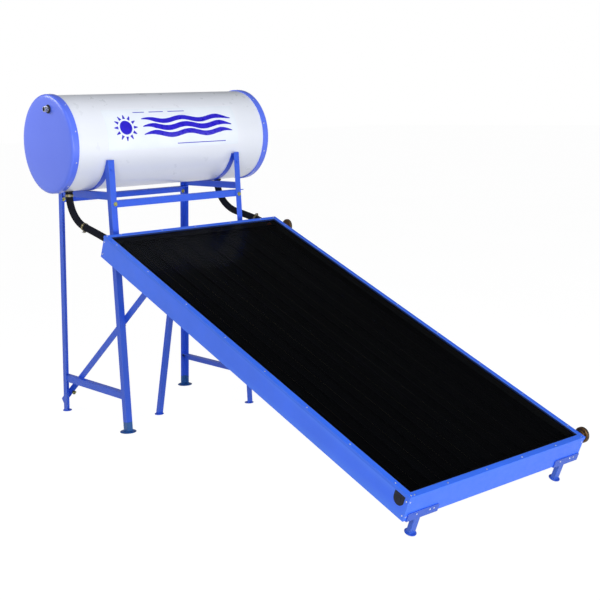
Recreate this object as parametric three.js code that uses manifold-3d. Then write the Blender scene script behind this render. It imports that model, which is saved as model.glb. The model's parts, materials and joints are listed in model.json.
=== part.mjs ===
// Thermosyphon solar water heater: a horizontal insulated tank on a splayed
// steel-angle stand, feeding one tilted flat-plate collector.
// Millimetres, +Z up. X runs along the tank axis, Y from the collector's low
// end towards the tank. The origin is on the ground under the middle of the
// whole heater.
import * as THREE from 'three';
import { mergeVertices } from 'three/addons/utils/BufferGeometryUtils.js';
import Module from 'manifold-3d';

const wasm = await Module();
wasm.setup();

// ---------------------------------------------------------------- dimensions
// shift from the collector's low left glass corner to the row origin
const ORIGIN_X = 465.5;
const ORIGIN_Y = 1301;
const GAP = 0.3;                 // clearance between touching pieces

// flat-plate collector, in its own frame: x across, u up the slope, n out of the glass
const TILT = 22.17 * Math.PI / 180;
const GLASS_Z = 191.6;           // height of the low left glass corner
const GLASS_W = 980;             // visible glass between the beads
const GLASS_L = 2031;
const FRAME_LAND = 23;           // frame edge beyond the visible glass
const FRAME_BOTTOM = -105;       // underside of the casing
const WALL = 2.2;                // extruded frame wall
const FRAME_TOP = -4;            // glass-rest lip top
const BEAD_TOP = 3;
const BEAD_T = 1.6;
const BEAD_SKIRT = -10.5;          // lower edge of the bead's outer leg
const HEADER_R = 14;
const HEADER_N = -33;
const HEADER_U_LOW = 23;
const HEADER_U_UP = GLASS_L - 22;
const FINS = 9;
const FLANGE_X0 = 1042;          // brass header flange, right side
const FLANGE_X1 = 1066;
const FLANGE_R = 33;

// stand of steel angle
const STAND_XL = 76;             // outer faces of the left and right legs
const STAND_XR = 852;
const LEG_W = 32;
const LEG_T = 3.5;
const FRONT_Y0 = 1949;           // outer face of the front legs at the ground
const FRONT_SLOPE = 0.0328;      // splay, towards the back going up
const REAR_Y0 = 2550.5;
const REAR_SLOPE = -0.069;
const LEG_TOP = 1308;
const FOOT_T = 5;
const FOOT_R_SMALL = 23.5;
const FOOT_R_BIG = 39.5;
const SHOE_H = 50;
const BAR_W = 33;                // crossbars
const BAR_FRONT_TOP = 1117;
const BAR_REAR_TOP = 1119;
const TAB = 23;                  // crossbar lug beyond the right leg
const TIE_W = 35;
const TIE_B = 28;
const TIE_T = 3.5;
const TIE_TOP = 1155.4;
const LOW_TIE_LEFT_TOP = 193;
const LOW_TIE_RIGHT_TOP = 181;
const BRACE_W = 35;
const BRACE_ANGLE = 38.66 * Math.PI / 180;
const PROP_X = 379;
const PROP_Y0 = 2121;
const PROP_SLOPE = -0.258;
const PROP_W = 25;
const REST_W = 48;

// tank
const TANK_Y = 2227;
const TANK_Z = 1387;
const TANK_R = 227.5;
const TANK_X0 = -111;            // outer faces of the end caps
const TANK_X1 = 1061;
const CAP_R = 233.5;
const CAP_DEPTH = 40;
const SKIN = 1.5;
const INNER_R = 190;
const INNER_X0 = -70;
const INNER_X1 = 1022;
const STRAP_T = 3.5;
const STRAP_W = 27;
const NIPPLE_XL = -5;
const NIPPLE_XR = 886;
const HOT_DY = -39;              // hot outlet on the left cap, from the tank axis
const HOT_DZ = 164;

// hoses
const HOSE_R = 17.5;
const HOSE_Z0 = 1154;          // top face of each hose under its nipple
const HOSE_BEND = 145;           // centreline bend radius
const HOSE_END_ANGLE = 15 * Math.PI / 180;
const HOSE_END_Y = 1938;
const SPIGOT_LIFT = 7;            // the spigots leave the upper header a little above its axis
const HOSE_XL_END = 18;
const HOSE_XR_END = 952;
// the hose leaves its nipple straight for this long, so that it meets its spigot
const HEADER_Y = HEADER_U_UP * Math.cos(TILT) - HEADER_N * Math.sin(TILT);
const HEADER_Z = GLASS_Z + HEADER_U_UP * Math.sin(TILT) + HEADER_N * Math.cos(TILT);
const SPIGOT_DY = -SPIGOT_LIFT * Math.sin(TILT);
const HOSE_TAIL = (TANK_Y - HOSE_BEND * (1 - Math.sin(HOSE_END_ANGLE)) - HOSE_END_Y) / Math.cos(HOSE_END_ANGLE);
const HOSE_STRAIGHT = HOSE_Z0 - HOSE_BEND * Math.cos(HOSE_END_ANGLE) - HOSE_TAIL * Math.sin(HOSE_END_ANGLE)
  - (HEADER_Z + SPIGOT_LIFT * Math.cos(TILT) + (HOSE_END_Y - SPIGOT_DY - HEADER_Y) * Math.tan(HOSE_END_ANGLE));

// ---------------------------------------------------------------- colours
const paint = (c, r = 0.42, m = 0.15) => new THREE.MeshStandardMaterial({ color: c, roughness: r, metalness: m });
const BLUE = 0x3d62e6, BLUE_FRAME = 0x5078f0, BLUE_BEAD = 0x4074f2, BLUE_CAP = 0x6a84e6, TEAL = 0x2b5fae;
const MATS = {
  leg: () => paint(BLUE), frame: () => paint(BLUE_FRAME, 0.45, 0.2), bead: () => paint(BLUE_BEAD, 0.4, 0.2),
  cap: () => paint(BLUE_CAP, 0.38, 0.05), foot: () => paint(BLUE), shoe: () => paint(TEAL),
  white: () => paint(0xeceff5, 0.32, 0.05), steel: () => paint(0xb9bcc0, 0.3, 0.9), zinc: () => paint(0xb8ae62, 0.35, 0.9),
  brass: () => paint(0x8a6a34, 0.4, 0.95), copper: () => paint(0xc8703c, 0.35, 1), rubber: () => paint(0x14161b, 0.8, 0),
  foam: () => paint(0x10121a, 0.9, 0), puf: () => paint(0xd9c48c, 0.95, 0), wool: () => paint(0xb8a468, 1, 0),
  sheet: () => paint(0xc3c6ca, 0.4, 0.9), absorber: () => paint(0x07090b, 0.5, 0.5),
  glass: () => new THREE.MeshStandardMaterial({ color: 0x0a0e10, roughness: 0.08, metalness: 0, transparent: true, opacity: 0.35 }),
};

// ---------------------------------------------------------------- solid helpers
const V = (x, y, z) => new THREE.Vector3(x, y, z);

function toSolid(geometry, matrix) {
  const g = geometry.clone();
  for (const k of Object.keys(g.attributes)) if (k !== 'position') g.deleteAttribute(k);
  if (matrix) g.applyMatrix4(matrix);
  const m = mergeVertices(g, 1e-4);
  const tris = Uint32Array.from(m.index.array);
  if (matrix && matrix.determinant() < 0) for (let i = 0; i < tris.length; i += 3) { const t = tris[i]; tris[i] = tris[i + 1]; tris[i + 1] = t; }
  return new wasm.Manifold(new wasm.Mesh({ numProp: 3, vertProperties: Float32Array.from(m.attributes.position.array), triVerts: tris }));
}

function toGeometry(solid) {
  const mesh = solid.getMesh();
  const g = new THREE.BufferGeometry();
  const n = mesh.vertProperties.length / mesh.numProp;
  const pos = new Float32Array(n * 3);
  for (let i = 0; i < n; i++) for (let k = 0; k < 3; k++) pos[3 * i + k] = mesh.vertProperties[i * mesh.numProp + k];
  g.setAttribute('position', new THREE.BufferAttribute(pos, 3));
  g.setIndex(new THREE.BufferAttribute(Uint32Array.from(mesh.triVerts), 1));
  g.computeVertexNormals();
  return g;
}

// matrix whose columns are the given axes and origin
function place(o, ax, ay, az) {
  const m = new THREE.Matrix4();
  m.makeBasis(ax, ay, az);
  m.setPosition(o);
  return m;
}

// closed polygon [[a,b],...] in the plane of ax and ay, extruded by len along az
function prism(pts, len, o, ax, ay, az) {
  const s = new THREE.Shape(pts.map((p) => new THREE.Vector2(p[0], p[1])));
  const g = new THREE.ExtrudeGeometry(s, { depth: len, bevelEnabled: false, steps: 1 });
  return toSolid(g, place(o, ax, ay, az));
}

function block(x0, x1, y0, y1, z0, z1) {
  return toSolid(new THREE.BoxGeometry(x1 - x0, y1 - y0, z1 - z0), new THREE.Matrix4().makeTranslation((x0 + x1) / 2, (y0 + y1) / 2, (z0 + z1) / 2));
}

// lathe of a closed profile [[r, h],...] about the axis az through o
function turned(profile, seg, o, az) {
  const a = az.clone().normalize();
  const helper = Math.abs(a.z) < 0.9 ? V(0, 0, 1) : V(1, 0, 0);
  const ax = new THREE.Vector3().crossVectors(helper, a).normalize();
  const ay = new THREE.Vector3().crossVectors(a, ax).normalize();
  const g = new THREE.LatheGeometry(profile.map((p) => new THREE.Vector2(p[0], p[1])), seg);
  // LatheGeometry turns about +Y
  const m = place(o, ax, a, new THREE.Vector3().crossVectors(ax, a));
  let s = toSolid(g, m);
  if (s.volume() < 0) {
    const r = profile.slice().reverse();
    s = toSolid(new THREE.LatheGeometry(r.map((p) => new THREE.Vector2(p[0], p[1])), seg), m);
  }
  return s;
}

const rod = (r, len, o, az, seg = 16) => turned([[0, 0], [r, 0], [r, len], [0, len]], seg, o, az);

// steel angle: corner line from o along az, legs along ax and ay
function angle(wa, wb, t, len, o, ax, ay, az) {
  return prism([[0, 0], [wa, 0], [wa, t], [t, t], [t, wb], [0, wb]], len, o, ax, ay, az);
}

const object = new THREE.Group();
object.position.set(-ORIGIN_X, -ORIGIN_Y, 0);
const collector = new THREE.Group();
collector.rotation.x = TILT;
collector.position.set(0, 0, GLASS_Z);
object.add(collector);

function add(group, name, solid, material) {
  const mesh = new THREE.Mesh(solid.isBufferGeometry ? solid : toGeometry(solid), material());
  mesh.name = name;
  group.add(mesh);
}

const X = V(1, 0, 0), Y = V(0, 1, 0), Z = V(0, 0, 1);
const nX = V(-1, 0, 0), nY = V(0, -1, 0), nZ = V(0, 0, -1);

// ---------------------------------------------------------------- collector
const XL = -FRAME_LAND, XR = GLASS_W + FRAME_LAND;
const UL = -FRAME_LAND, UU = GLASS_L + FRAME_LAND;
const LIP = 18;
// channel section, a = inwards from the outer wall, b = n
const channel = [[0, FRAME_BOTTOM], [LIP, FRAME_BOTTOM], [LIP, FRAME_BOTTOM + WALL], [WALL, FRAME_BOTTOM + WALL],
  [WALL, FRAME_TOP - WALL], [LIP, FRAME_TOP - WALL], [LIP, FRAME_TOP], [0, FRAME_TOP]];
// rails: the two long sides run the full length, the two ends fit between them
const sideLeft0 = prism(channel, UU - UL, V(XL, UU, 0), X, Z, nY);
const sideRight0 = prism(channel, UU - UL, V(XR, UL, 0), nX, Z, Y);
const endLen = (XR - WALL - GAP) - (XL + WALL + GAP);
// end rails are coped at their lips so that they butt the side rails' walls
let endLow = prism(channel, endLen, V(XL + WALL + GAP, UL, 0), Y, Z, X);
let endUp = prism(channel, endLen, V(XR - WALL - GAP, UU, 0), nY, Z, nX);
function copeEnds(s, u0, u1) {
  for (const [a, b] of [[XL, XL + LIP + GAP], [XR - LIP - GAP, XR]]) {
    s = s.subtract(block(a, b, u0, u1, FRAME_BOTTOM - 1, FRAME_BOTTOM + WALL + GAP));
    s = s.subtract(block(a, b, u0, u1, FRAME_TOP - WALL - GAP, FRAME_TOP + 1));
  }
  return s;
}
// keep the end rails' outer walls whole, cope the rest; the side walls stop short of them
endLow = copeEnds(endLow, UL - 1, UL + LIP + 2);
endUp = copeEnds(endUp, UU - LIP - 2, UU + 1);
const portHole = (x0, x1, u, r) => rod(r, x1 - x0, V(x0, u, HEADER_N), X, 24);
// U-shaped port in the left rail, open under the bead
const PORT_R = 26, PORT_N = -35;
const uPts = (r, top) => {
  const p = [];
  for (let i = 0; i <= 12; i++) { const a = Math.PI + Math.PI * i / 12; p.push([r * Math.cos(a), r * Math.sin(a)]); }
  p.push([r, top - PORT_N], [-r, top - PORT_N]);
  return p;
};
let sideLeft = sideLeft0.subtract(prism(uPts(PORT_R, -11.9), 30, V(XL - 5, HEADER_U_LOW, PORT_N), Y, Z, X));
let sideRight = sideRight0;
for (const u of [HEADER_U_LOW, HEADER_U_UP]) sideRight = sideRight.subtract(portHole(XR - 6, XR + 6, u, HEADER_R + 1));
// end rail ends clear of side rails at the port
add(collector, 'frame_side_left', sideLeft, MATS.frame);
add(collector, 'frame_side_right', sideRight, MATS.frame);
add(collector, 'frame_end_lower', endLow, MATS.frame);

// direction of the hose spigots seen from inside the collector frame
const ea = HOSE_END_ANGLE - TILT;
const E = V(0, Math.cos(ea), Math.sin(ea));
const SPIGOT_N = HEADER_N + SPIGOT_LIFT;
const spigotLen = (HOSE_END_Y - (HEADER_Y + SPIGOT_DY)) / Math.cos(HOSE_END_ANGLE) - GAP;
for (const x of [HOSE_XL_END, HOSE_XR_END]) endUp = endUp.subtract(rod(15.5, 90, V(x, HEADER_U_UP, SPIGOT_N), E, 20));
add(collector, 'frame_end_upper', endUp, MATS.frame);

// glazing beads: angle sections over the glass edge, mitred by plain butt joints
const BX0 = XL - BEAD_T - GAP, BX1 = XR + BEAD_T + GAP, BU0 = UL - BEAD_T - GAP, BU1 = UU + BEAD_T + GAP;
const beadW = FRAME_LAND + BEAD_T + GAP;
const beadH = BEAD_TOP - BEAD_SKIRT;
const bead = (len, o, inward, along) => angle(beadW, beadH, BEAD_T, len, o, inward, nZ, along);
const m45 = (o, sx, sy) => prism([[-2, -2 + 0.2], [60, 60 + 0.2], [60, -60], [-2, -60]], 60, o, V(sx, 0, 0), V(0, sy, 0), Z);
let bL = bead(BU1 - BU0, V(BX0, BU0, BEAD_TOP), X, Y), bR = bead(BU1 - BU0, V(BX1, BU0, BEAD_TOP), nX, Y);
let bD = bead(BX1 - BX0, V(BX0, BU0, BEAD_TOP), Y, X), bU = bead(BX1 - BX0, V(BX0, BU1, BEAD_TOP), nY, X);
// cut every bead back to its mitre
bL = bL.subtract(m45(V(BX0, BU0, -50), 1, 1)).subtract(m45(V(BX0, BU1, -50), 1, -1));
bR = bR.subtract(m45(V(BX1, BU0, -50), -1, 1)).subtract(m45(V(BX1, BU1, -50), -1, -1));
const m45b = (o, sx, sy) => prism([[-2 + 0.2, -2], [60 + 0.2, 60], [-60, 60], [-60, -2]], 60, o, V(sx, 0, 0), V(0, sy, 0), Z);
bD = bD.subtract(m45b(V(BX0, BU0, -50), 1, 1)).subtract(m45b(V(BX1, BU0, -50), -1, 1));
bU = bU.subtract(m45b(V(BX0, BU1, -50), 1, -1)).subtract(m45b(V(BX1, BU1, -50), -1, -1));
add(collector, 'glazing_bead_left', bL, MATS.bead);
add(collector, 'glazing_bead_right', bR, MATS.bead);
add(collector, 'glazing_bead_lower', bD, MATS.bead);
add(collector, 'glazing_bead_upper', bU, MATS.bead);

add(collector, 'cover_glass', block(XL + 5, XR - 5, UL + 5, UU - 5, FRAME_TOP + GAP, 0.6), MATS.glass);

// absorber: bonded fins with a riser tube along the middle of each
const AX0 = XL + 22, AX1 = XR - 22;
const PLATE_N = -34, PLATE_T = 1.0, RISER_R = 6.35;
const pitch = (AX1 - AX0) / FINS;
const prof = [[AX0, PLATE_N - PLATE_T]];
prof.push([AX1, PLATE_N - PLATE_T]);
prof.push([AX1, PLATE_N]);
for (let i = FINS - 1; i >= 0; i--) {
  const c = AX0 + pitch * (i + 0.5);
  if (i < FINS - 1) { const b = AX0 + pitch * (i + 1); prof.push([b + 1.2, PLATE_N], [b, PLATE_N - 0.6], [b - 1.2, PLATE_N]); }
  for (let k = 0; k <= 6; k++) { const a = Math.PI * k / 6; prof.push([c + RISER_R * Math.cos(a), PLATE_N + RISER_R * Math.sin(a)]); }
}
prof.push([AX0, PLATE_N]);
const A0 = HEADER_U_LOW + HEADER_R + GAP, A1 = HEADER_U_UP - HEADER_R - GAP;
add(collector, 'absorber_fins', prism(prof, A1 - A0, V(0, A1, 0), X, Z, nY), MATS.absorber);

// headers, closed at the left, open into the flanges at the right
const cup = (x0, x1) => turned([[0, 0], [HEADER_R, 0], [HEADER_R, x1 - x0], [HEADER_R - 1.5, x1 - x0], [HEADER_R - 1.5, 2], [0, 2]], 20, V(0, 0, 0), X).translate(x0, 0, 0);
const HX0 = XL + WALL + 1;
const headerUp = cup(HX0, FLANGE_X1 - 8).translate(0, HEADER_U_UP, HEADER_N);
const spigot = rod(HEADER_R - 0.5, spigotLen, V(HOSE_XL_END, HEADER_U_UP, SPIGOT_N), E, 20);
const bore = (r, len, o, d) => rod(r, len, o, d, 16);
add(collector, 'header_upper', headerUp.add(spigot).subtract(bore(HEADER_R - 3, 200, V(HOSE_XL_END, HEADER_U_UP, SPIGOT_N), E)), MATS.copper);
// the cold feed drops inside the casing to the lower header
const DOWN_X = HOSE_XR_END, DOWN_N = -62, DOWN_R = 10;
const headerLow = cup(HX0, FLANGE_X1 - 8).translate(0, HEADER_U_LOW, HEADER_N);
let feed = rod(DOWN_R, HEADER_U_UP - HEADER_U_LOW + 10, V(DOWN_X, HEADER_U_LOW - 10, DOWN_N), Y, 14);
feed = feed.add(rod(DOWN_R, HEADER_N - DOWN_N, V(DOWN_X, HEADER_U_LOW, DOWN_N), Z, 14));
add(collector, 'header_lower', headerLow.add(feed), MATS.copper);
// the cold spigot lies over the end of the feed pipe and meets the hose
const coldDir = V(0, Math.cos(ea), Math.sin(ea));
const coldStart = V(DOWN_X, HEADER_U_UP + HEADER_R + 2, SPIGOT_N + Math.tan(ea) * (HEADER_R + 2));
add(collector, 'cold_spigot', rod(HEADER_R - 0.5, spigotLen - (HEADER_R + 2) / Math.cos(ea), coldStart, coldDir, 20)
  .add(block(DOWN_X - 9, DOWN_X + 9, HEADER_U_UP + 17, HEADER_U_UP + 33, DOWN_N - 8, SPIGOT_N)), MATS.copper);

add(collector, 'header_plug_left', prism(uPts(PORT_R - GAP, -12.2), 4, V(XL - 1.2, HEADER_U_LOW, PORT_N), Y, Z, X), MATS.rubber);

// brass flanges closing the right-hand header ends
const flangeProf = [[0, 24], [FLANGE_R, 24], [FLANGE_R, 14], [FLANGE_R - 3, 11], [20, 8], [HEADER_R + 4, 0], [HEADER_R + GAP, 0], [HEADER_R + GAP, 16 + GAP], [0, 16 + GAP]];
for (const [nm, u] of [['header_flange_lower', HEADER_U_LOW], ['header_flange_upper', HEADER_U_UP]])
  add(collector, nm, turned(flangeProf, 24, V(FLANGE_X0, u, HEADER_N), X), MATS.brass);

add(collector, 'insulation_slab', block(XL + WALL + 1, XR - WALL - 1, UL + WALL + 1, UU - WALL - 1, FRAME_BOTTOM + WALL + 2, -74), MATS.wool);
add(collector, 'back_sheet', block(XL + WALL + GAP, XR - WALL - GAP, UL + WALL + GAP, UU - WALL - GAP, FRAME_BOTTOM + WALL + GAP, FRAME_BOTTOM + WALL + 1.5), MATS.sheet);

// low-end feet: an angle under the end rail, a square stub and a round pad
const FB_T = 4, FB_W = 35;
const PAD_R = FOOT_R_SMALL, PAD_U = -6, PAD_T = 4;
const padN = -(GLASS_Z + PAD_U * Math.sin(TILT) - (PAD_R - 0.8) * Math.sin(TILT)) / Math.cos(TILT);
for (const [side, x0, x1, xc] of [['left', -7, 157, 68], ['right', 845, 1001, 921]]) {
  const c = V(x0, UL - GAP - FB_T, FRAME_BOTTOM - GAP - FB_T);
  let br = angle(FB_W, FB_W, FB_T, x1 - x0, c, Y, Z, X);
  // chamfered free corners of the upright leg
  const ch = (x, s) => prism([[0, 0], [4, 0], [0, 4]], 20, V(x, UL - 12, FRAME_BOTTOM - GAP - FB_T + FB_W), V(s, 0, 0), nZ, Y);
  br = br.subtract(ch(x0, 1)).subtract(ch(x1, -1));
  add(collector, 'end_bracket_' + side, br, MATS.leg);
  const top = FRAME_BOTTOM - GAP - FB_T - GAP;
  const stub = block(xc - 16, xc + 16, PAD_U - 10, PAD_U + 10, padN + PAD_T - 0.5, top);
  const pad = turned([[0, 0], [PAD_R - 0.8, 0], [PAD_R, 1], [PAD_R, PAD_T - 1], [PAD_R - 1, PAD_T], [0, PAD_T]], 24, V(xc, PAD_U, padN), Z);
  add(collector, 'end_foot_' + side, stub.add(pad), MATS.foot);
}

// ---------------------------------------------------------------- stand
const frontY = (z) => FRONT_Y0 + FRONT_SLOPE * z;
const rearY = (z) => REAR_Y0 + REAR_SLOPE * z;
const dirF = V(0, FRONT_SLOPE, 1).normalize(), dirR = V(0, REAR_SLOPE, 1).normalize();
const crossF = V(0, 1, -FRONT_SLOPE).normalize(), crossR = V(0, -1, REAR_SLOPE).normalize();
const tankClear = rod(TANK_R + STRAP_T + 1.2, 2000, V(-400, TANK_Y, TANK_Z), X, 48);
const groundCut = (z) => block(-200, 1300, 1500, 3000, -400, z);
const topCut = block(-200, 1300, 1500, 3000, LEG_TOP, 2000);
// slot in a leg's side flange where the crossbar lug passes
const lugSlot = block(STAND_XR - 8, STAND_XR + 8, 1940, frontY(BAR_FRONT_TOP) + LEG_T + 34.5, BAR_FRONT_TOP - LEG_T - 0.5, BAR_FRONT_TOP + 0.5)
  .subtract(block(STAND_XR - 9, STAND_XR + 9, 1930, frontY(BAR_FRONT_TOP) + LEG_T - 0.2, 1000, 1200));
function leg(x, inX, y0, d, cr, footTop, extra) {
  let s = angle(LEG_W, LEG_W, LEG_T, 1500, V(x, y0, 0).addScaledVector(d, -60), inX, cr, d);
  s = s.subtract(groundCut(footTop + GAP)).subtract(topCut).subtract(tankClear);
  if (extra) s = s.subtract(extra);
  return s;
}
add(object, 'leg_front_left', leg(STAND_XL, X, FRONT_Y0, dirF, crossF, SHOE_H), MATS.leg);
add(object, 'leg_front_right', leg(STAND_XR, nX, FRONT_Y0, dirF, crossF, FOOT_T, lugSlot), MATS.leg);
add(object, 'leg_rear_left', leg(STAND_XL, X, REAR_Y0, dirR, crossR, FOOT_T), MATS.leg);
add(object, 'leg_rear_right', leg(STAND_XR, nX, REAR_Y0, dirR, crossR, SHOE_H), MATS.leg);

// round pads; the two big ones carry a short angle shoe
const padProf = (r, t) => [[0, 0], [r - 1, 0], [r, 1.2], [r, t - 2.2], [r - 3, t - 0.8], [r - 7, t], [0, t]];
function foot(name, x, y, r, shoe, mat) {
  let s = turned(padProf(r, FOOT_T), 28, V(x, y, 0), Z);
  if (shoe) s = s.add(shoe);
  add(object, name, s, mat);
}
const shoeF = angle(LEG_W, LEG_W, LEG_T, 120, V(STAND_XL, FRONT_Y0, 0).addScaledVector(dirF, -10), X, crossF, dirF)
  .subtract(block(-200, 1300, 1500, 3000, -400, FOOT_T - 1)).subtract(block(-200, 1300, 1500, 3000, SHOE_H, 400));
const shoeR = angle(LEG_W, LEG_W, LEG_T, 120, V(STAND_XR, REAR_Y0, 0).addScaledVector(dirR, -10), nX, crossR, dirR)
  .subtract(block(-200, 1300, 1500, 3000, -400, FOOT_T - 1)).subtract(block(-200, 1300, 1500, 3000, SHOE_H, 400));
foot('foot_front_left', STAND_XL + 13, FRONT_Y0 + 13, FOOT_R_BIG, shoeF, MATS.shoe);
foot('foot_front_right', STAND_XR - 13, FRONT_Y0 + 13, FOOT_R_SMALL, null, MATS.foot);
foot('foot_rear_left', STAND_XL + 13, REAR_Y0 - 13, FOOT_R_SMALL, null, MATS.foot);
foot('foot_rear_right', STAND_XR - 13, REAR_Y0 - 13, FOOT_R_BIG, shoeR, MATS.shoe);
foot('foot_prop', PROP_X, PROP_Y0, FOOT_R_SMALL, null, MATS.foot);

// crossbars behind the front flanges and in front of the rear flanges
const barIn = LEG_T + TIE_T + 2 * GAP;
const fY = frontY(BAR_FRONT_TOP) + LEG_T + GAP;      // front face of the front bar at its top
const xa = STAND_XL + barIn + 1, xb = STAND_XR - barIn - 1;
let barFront = angle(BAR_W, BAR_W, LEG_T, xb - xa, V(xa, fY, BAR_FRONT_TOP), nZ, Y, X);
barFront = barFront.add(block(xb - 5, STAND_XR + TAB, fY, fY + BAR_W, BAR_FRONT_TOP - LEG_T, BAR_FRONT_TOP));
add(object, 'crossbar_front', barFront, MATS.leg);
const rO = V(xa, rearY(BAR_REAR_TOP) - LEG_T - GAP, BAR_REAR_TOP);
add(object, 'crossbar_rear', angle(BAR_W, BAR_W, LEG_T, xb - xa, rO, dirR.clone().negate(), crossR, X), MATS.leg);

// ties under the tank, along Y, flange on top turned inwards; coped over the crossbars
const tieY0 = frontY(TIE_TOP) + LEG_T + GAP + 0.3, tieY1 = rearY(TIE_TOP) - LEG_T - GAP - 0.3;
for (const [side, x, inX] of [['left', STAND_XL + LEG_T + GAP, X], ['right', STAND_XR - LEG_T - GAP, nX]]) {
  let t = angle(TIE_W, TIE_B, TIE_T, tieY1 - tieY0, V(x, tieY0, TIE_TOP), nZ, inX, Y);
  const xm0 = Math.min(x, x + 40 * inX.x) - 6, xm1 = Math.max(x, x + 40 * inX.x) + 6;
  t = t.subtract(block(xm0, xm1, tieY0 - 2, tieY0 + 6, 1000, BAR_FRONT_TOP + GAP + 0.2));
  t = t.subtract(block(xm0, xm1, tieY0 - 2, fY + BAR_W + 0.6, BAR_FRONT_TOP - LEG_T - 0.6, BAR_FRONT_TOP + 0.6));
  t = t.subtract(tankClear);
  add(object, 'tank_tie_' + side, t, MATS.leg);
}

// saddle straps hugging the tank's underside from leg to leg
const A_END = Math.asin((TANK_Z - 1302) / (TANK_R + 2));
function strap(x0) {
  const n = 30, r0 = TANK_R + GAP, r1 = TANK_R + STRAP_T;
  const pts = [];
  const a0 = Math.PI + A_END, a1 = 2 * Math.PI - A_END;
  for (let i = 0; i <= n; i++) { const a = a0 + (a1 - a0) * i / n; pts.push([r1 * Math.cos(a), r1 * Math.sin(a)]); }
  for (let i = n; i >= 0; i--) { const a = a0 + (a1 - a0) * i / n; pts.push([(r0 + 0.2) * Math.cos(a), (r0 + 0.2) * Math.sin(a)]); }
  return prism(pts, STRAP_W, V(x0, TANK_Y, TANK_Z), Y, Z, X);
}
add(object, 'saddle_strap_left', strap(STAND_XL + LEG_T + GAP + 0.2), MATS.leg);
add(object, 'saddle_strap_right', strap(STAND_XR - LEG_T - GAP - 0.2 - STRAP_W), MATS.leg);

// low ties between front and rear legs
for (const [side, x, inX, top] of [['left', STAND_XL + LEG_T + GAP, X, LOW_TIE_LEFT_TOP], ['right', STAND_XR - LEG_T - GAP, nX, LOW_TIE_RIGHT_TOP]]) {
  const ya = frontY(top) + LEG_T + GAP + 0.2, yb = rearY(top) - LEG_T - GAP - 0.2;
  add(object, 'low_tie_' + side, angle(TIE_W, TIE_B, TIE_T, yb - ya, V(x, ya, top), nZ, inX, Y), MATS.leg);
}

// long diagonal brace carrying the collector, passing just inside the left legs
const BX = STAND_XL + LEG_W + 0.6;
const bd = V(0, -Math.cos(BRACE_ANGLE), Math.sin(BRACE_ANGLE));
const bn = V(0, Math.sin(BRACE_ANGLE), Math.cos(BRACE_ANGLE));
const braceO = V(BX, 2604, 17.2).addScaledVector(bn, BRACE_W);
const underCollector = (pad) => toSolid(new THREE.BoxGeometry(3000, 4000, 1000),
  new THREE.Matrix4().makeTranslation(0, 0, GLASS_Z).multiply(new THREE.Matrix4().makeRotationX(TILT)).multiply(new THREE.Matrix4().makeTranslation(0, 1500, FRAME_BOTTOM - pad + 500)));
add(object, 'brace_left', angle(BRACE_W, BRACE_W - 3, TIE_T, 1400, braceO, bn.clone().negate(), X, bd).subtract(underCollector(GAP)), MATS.leg);

// leaning prop under the collector's high end
const dP = V(0, PROP_SLOPE, 1).normalize(), cP = V(0, 1, -PROP_SLOPE).normalize();
add(object, 'prop_leg', angle(PROP_W, PROP_W, 3, 1200, V(PROP_X - 9, PROP_Y0 - 9, 0).addScaledVector(dP, -20), X, cP, dP)
  .subtract(groundCut(FOOT_T + GAP)).subtract(underCollector(GAP)), MATS.leg);

// shelf angle on the front legs under the collector's high end
const restY = frontY(812) - GAP - 0.2;
const restZ = 861;
add(object, 'collector_rest_bar', angle(REST_W, REST_W, 4, STAND_XR - STAND_XL, V(STAND_XL, restY, restZ), nZ, nY, X).subtract(underCollector(GAP))
  .subtract(block(PROP_X - 14, PROP_X + 22, restY - 60, restY - 8, 700, 900)), MATS.leg);

// ---------------------------------------------------------------- tank
const tube = (r0, r1, x0, x1, seg) => turned([[r0, 0], [r1, 0], [r1, x1 - x0], [r0, x1 - x0], [r0, 0]], seg, V(x0, TANK_Y, TANK_Z), X);
const nippleCut = (r) => rod(r, 200, V(NIPPLE_XL, TANK_Y, 1050), Z, 20).add(rod(r, 200, V(NIPPLE_XR, TANK_Y, 1050), Z, 20));
add(object, 'tank_shell', tube(TANK_R - SKIN, TANK_R, TANK_X0 + 22, TANK_X1 - 22, 48).subtract(nippleCut(15)), MATS.white);
add(object, 'tank_insulation', tube(INNER_R + 1.6, TANK_R - SKIN - 1.6, TANK_X0 + 22.5, TANK_X1 - 22.5, 32).subtract(nippleCut(15)), MATS.puf);
// end caps: shallow dished covers with a rolled rim
const capProf = [[0, 0], [140, 0.6], [205, 1.8], [221, 3], [228, 5.4], [231.8, 8.8], [CAP_R, 13], [CAP_R, CAP_DEPTH], [TANK_R + 0.5, CAP_DEPTH],
  [TANK_R + 0.5, 14.5], [222, 9.4], [203, 6.4], [0, 4.5]];
const hotY = TANK_Y + HOT_DY, hotZ = TANK_Z + HOT_DZ;
const capL = turned(capProf, 48, V(TANK_X0, TANK_Y, TANK_Z), X).subtract(rod(16, 60, V(TANK_X0 - 20, hotY, hotZ), X, 20));
add(object, 'tank_cap_left', capL, MATS.cap);
add(object, 'tank_cap_right', turned(capProf, 48, V(TANK_X1, TANK_Y, TANK_Z), nX), MATS.cap);
// pressure vessel with dished ends and its open ports
const L = INNER_X1 - INNER_X0;
const innerProf = [[0, 0], [120, 6], [175, 24], [INNER_R, 44], [INNER_R, L - 44], [175, L - 24], [120, L - 6], [0, L],
  [0, L - 2.5], [119, L - 8.5], [173, L - 26], [INNER_R - 2.5, L - 45], [INNER_R - 2.5, 45], [173, 26], [119, 8.5], [0, 2.5]];
add(object, 'inner_tank', turned(innerProf, 32, V(INNER_X0, TANK_Y, TANK_Z), X)
  .subtract(nippleCut(11)).subtract(rod(10.5, 160, V(INNER_X0 - 20, hotY, hotZ), X, 16)), MATS.steel);
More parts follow.
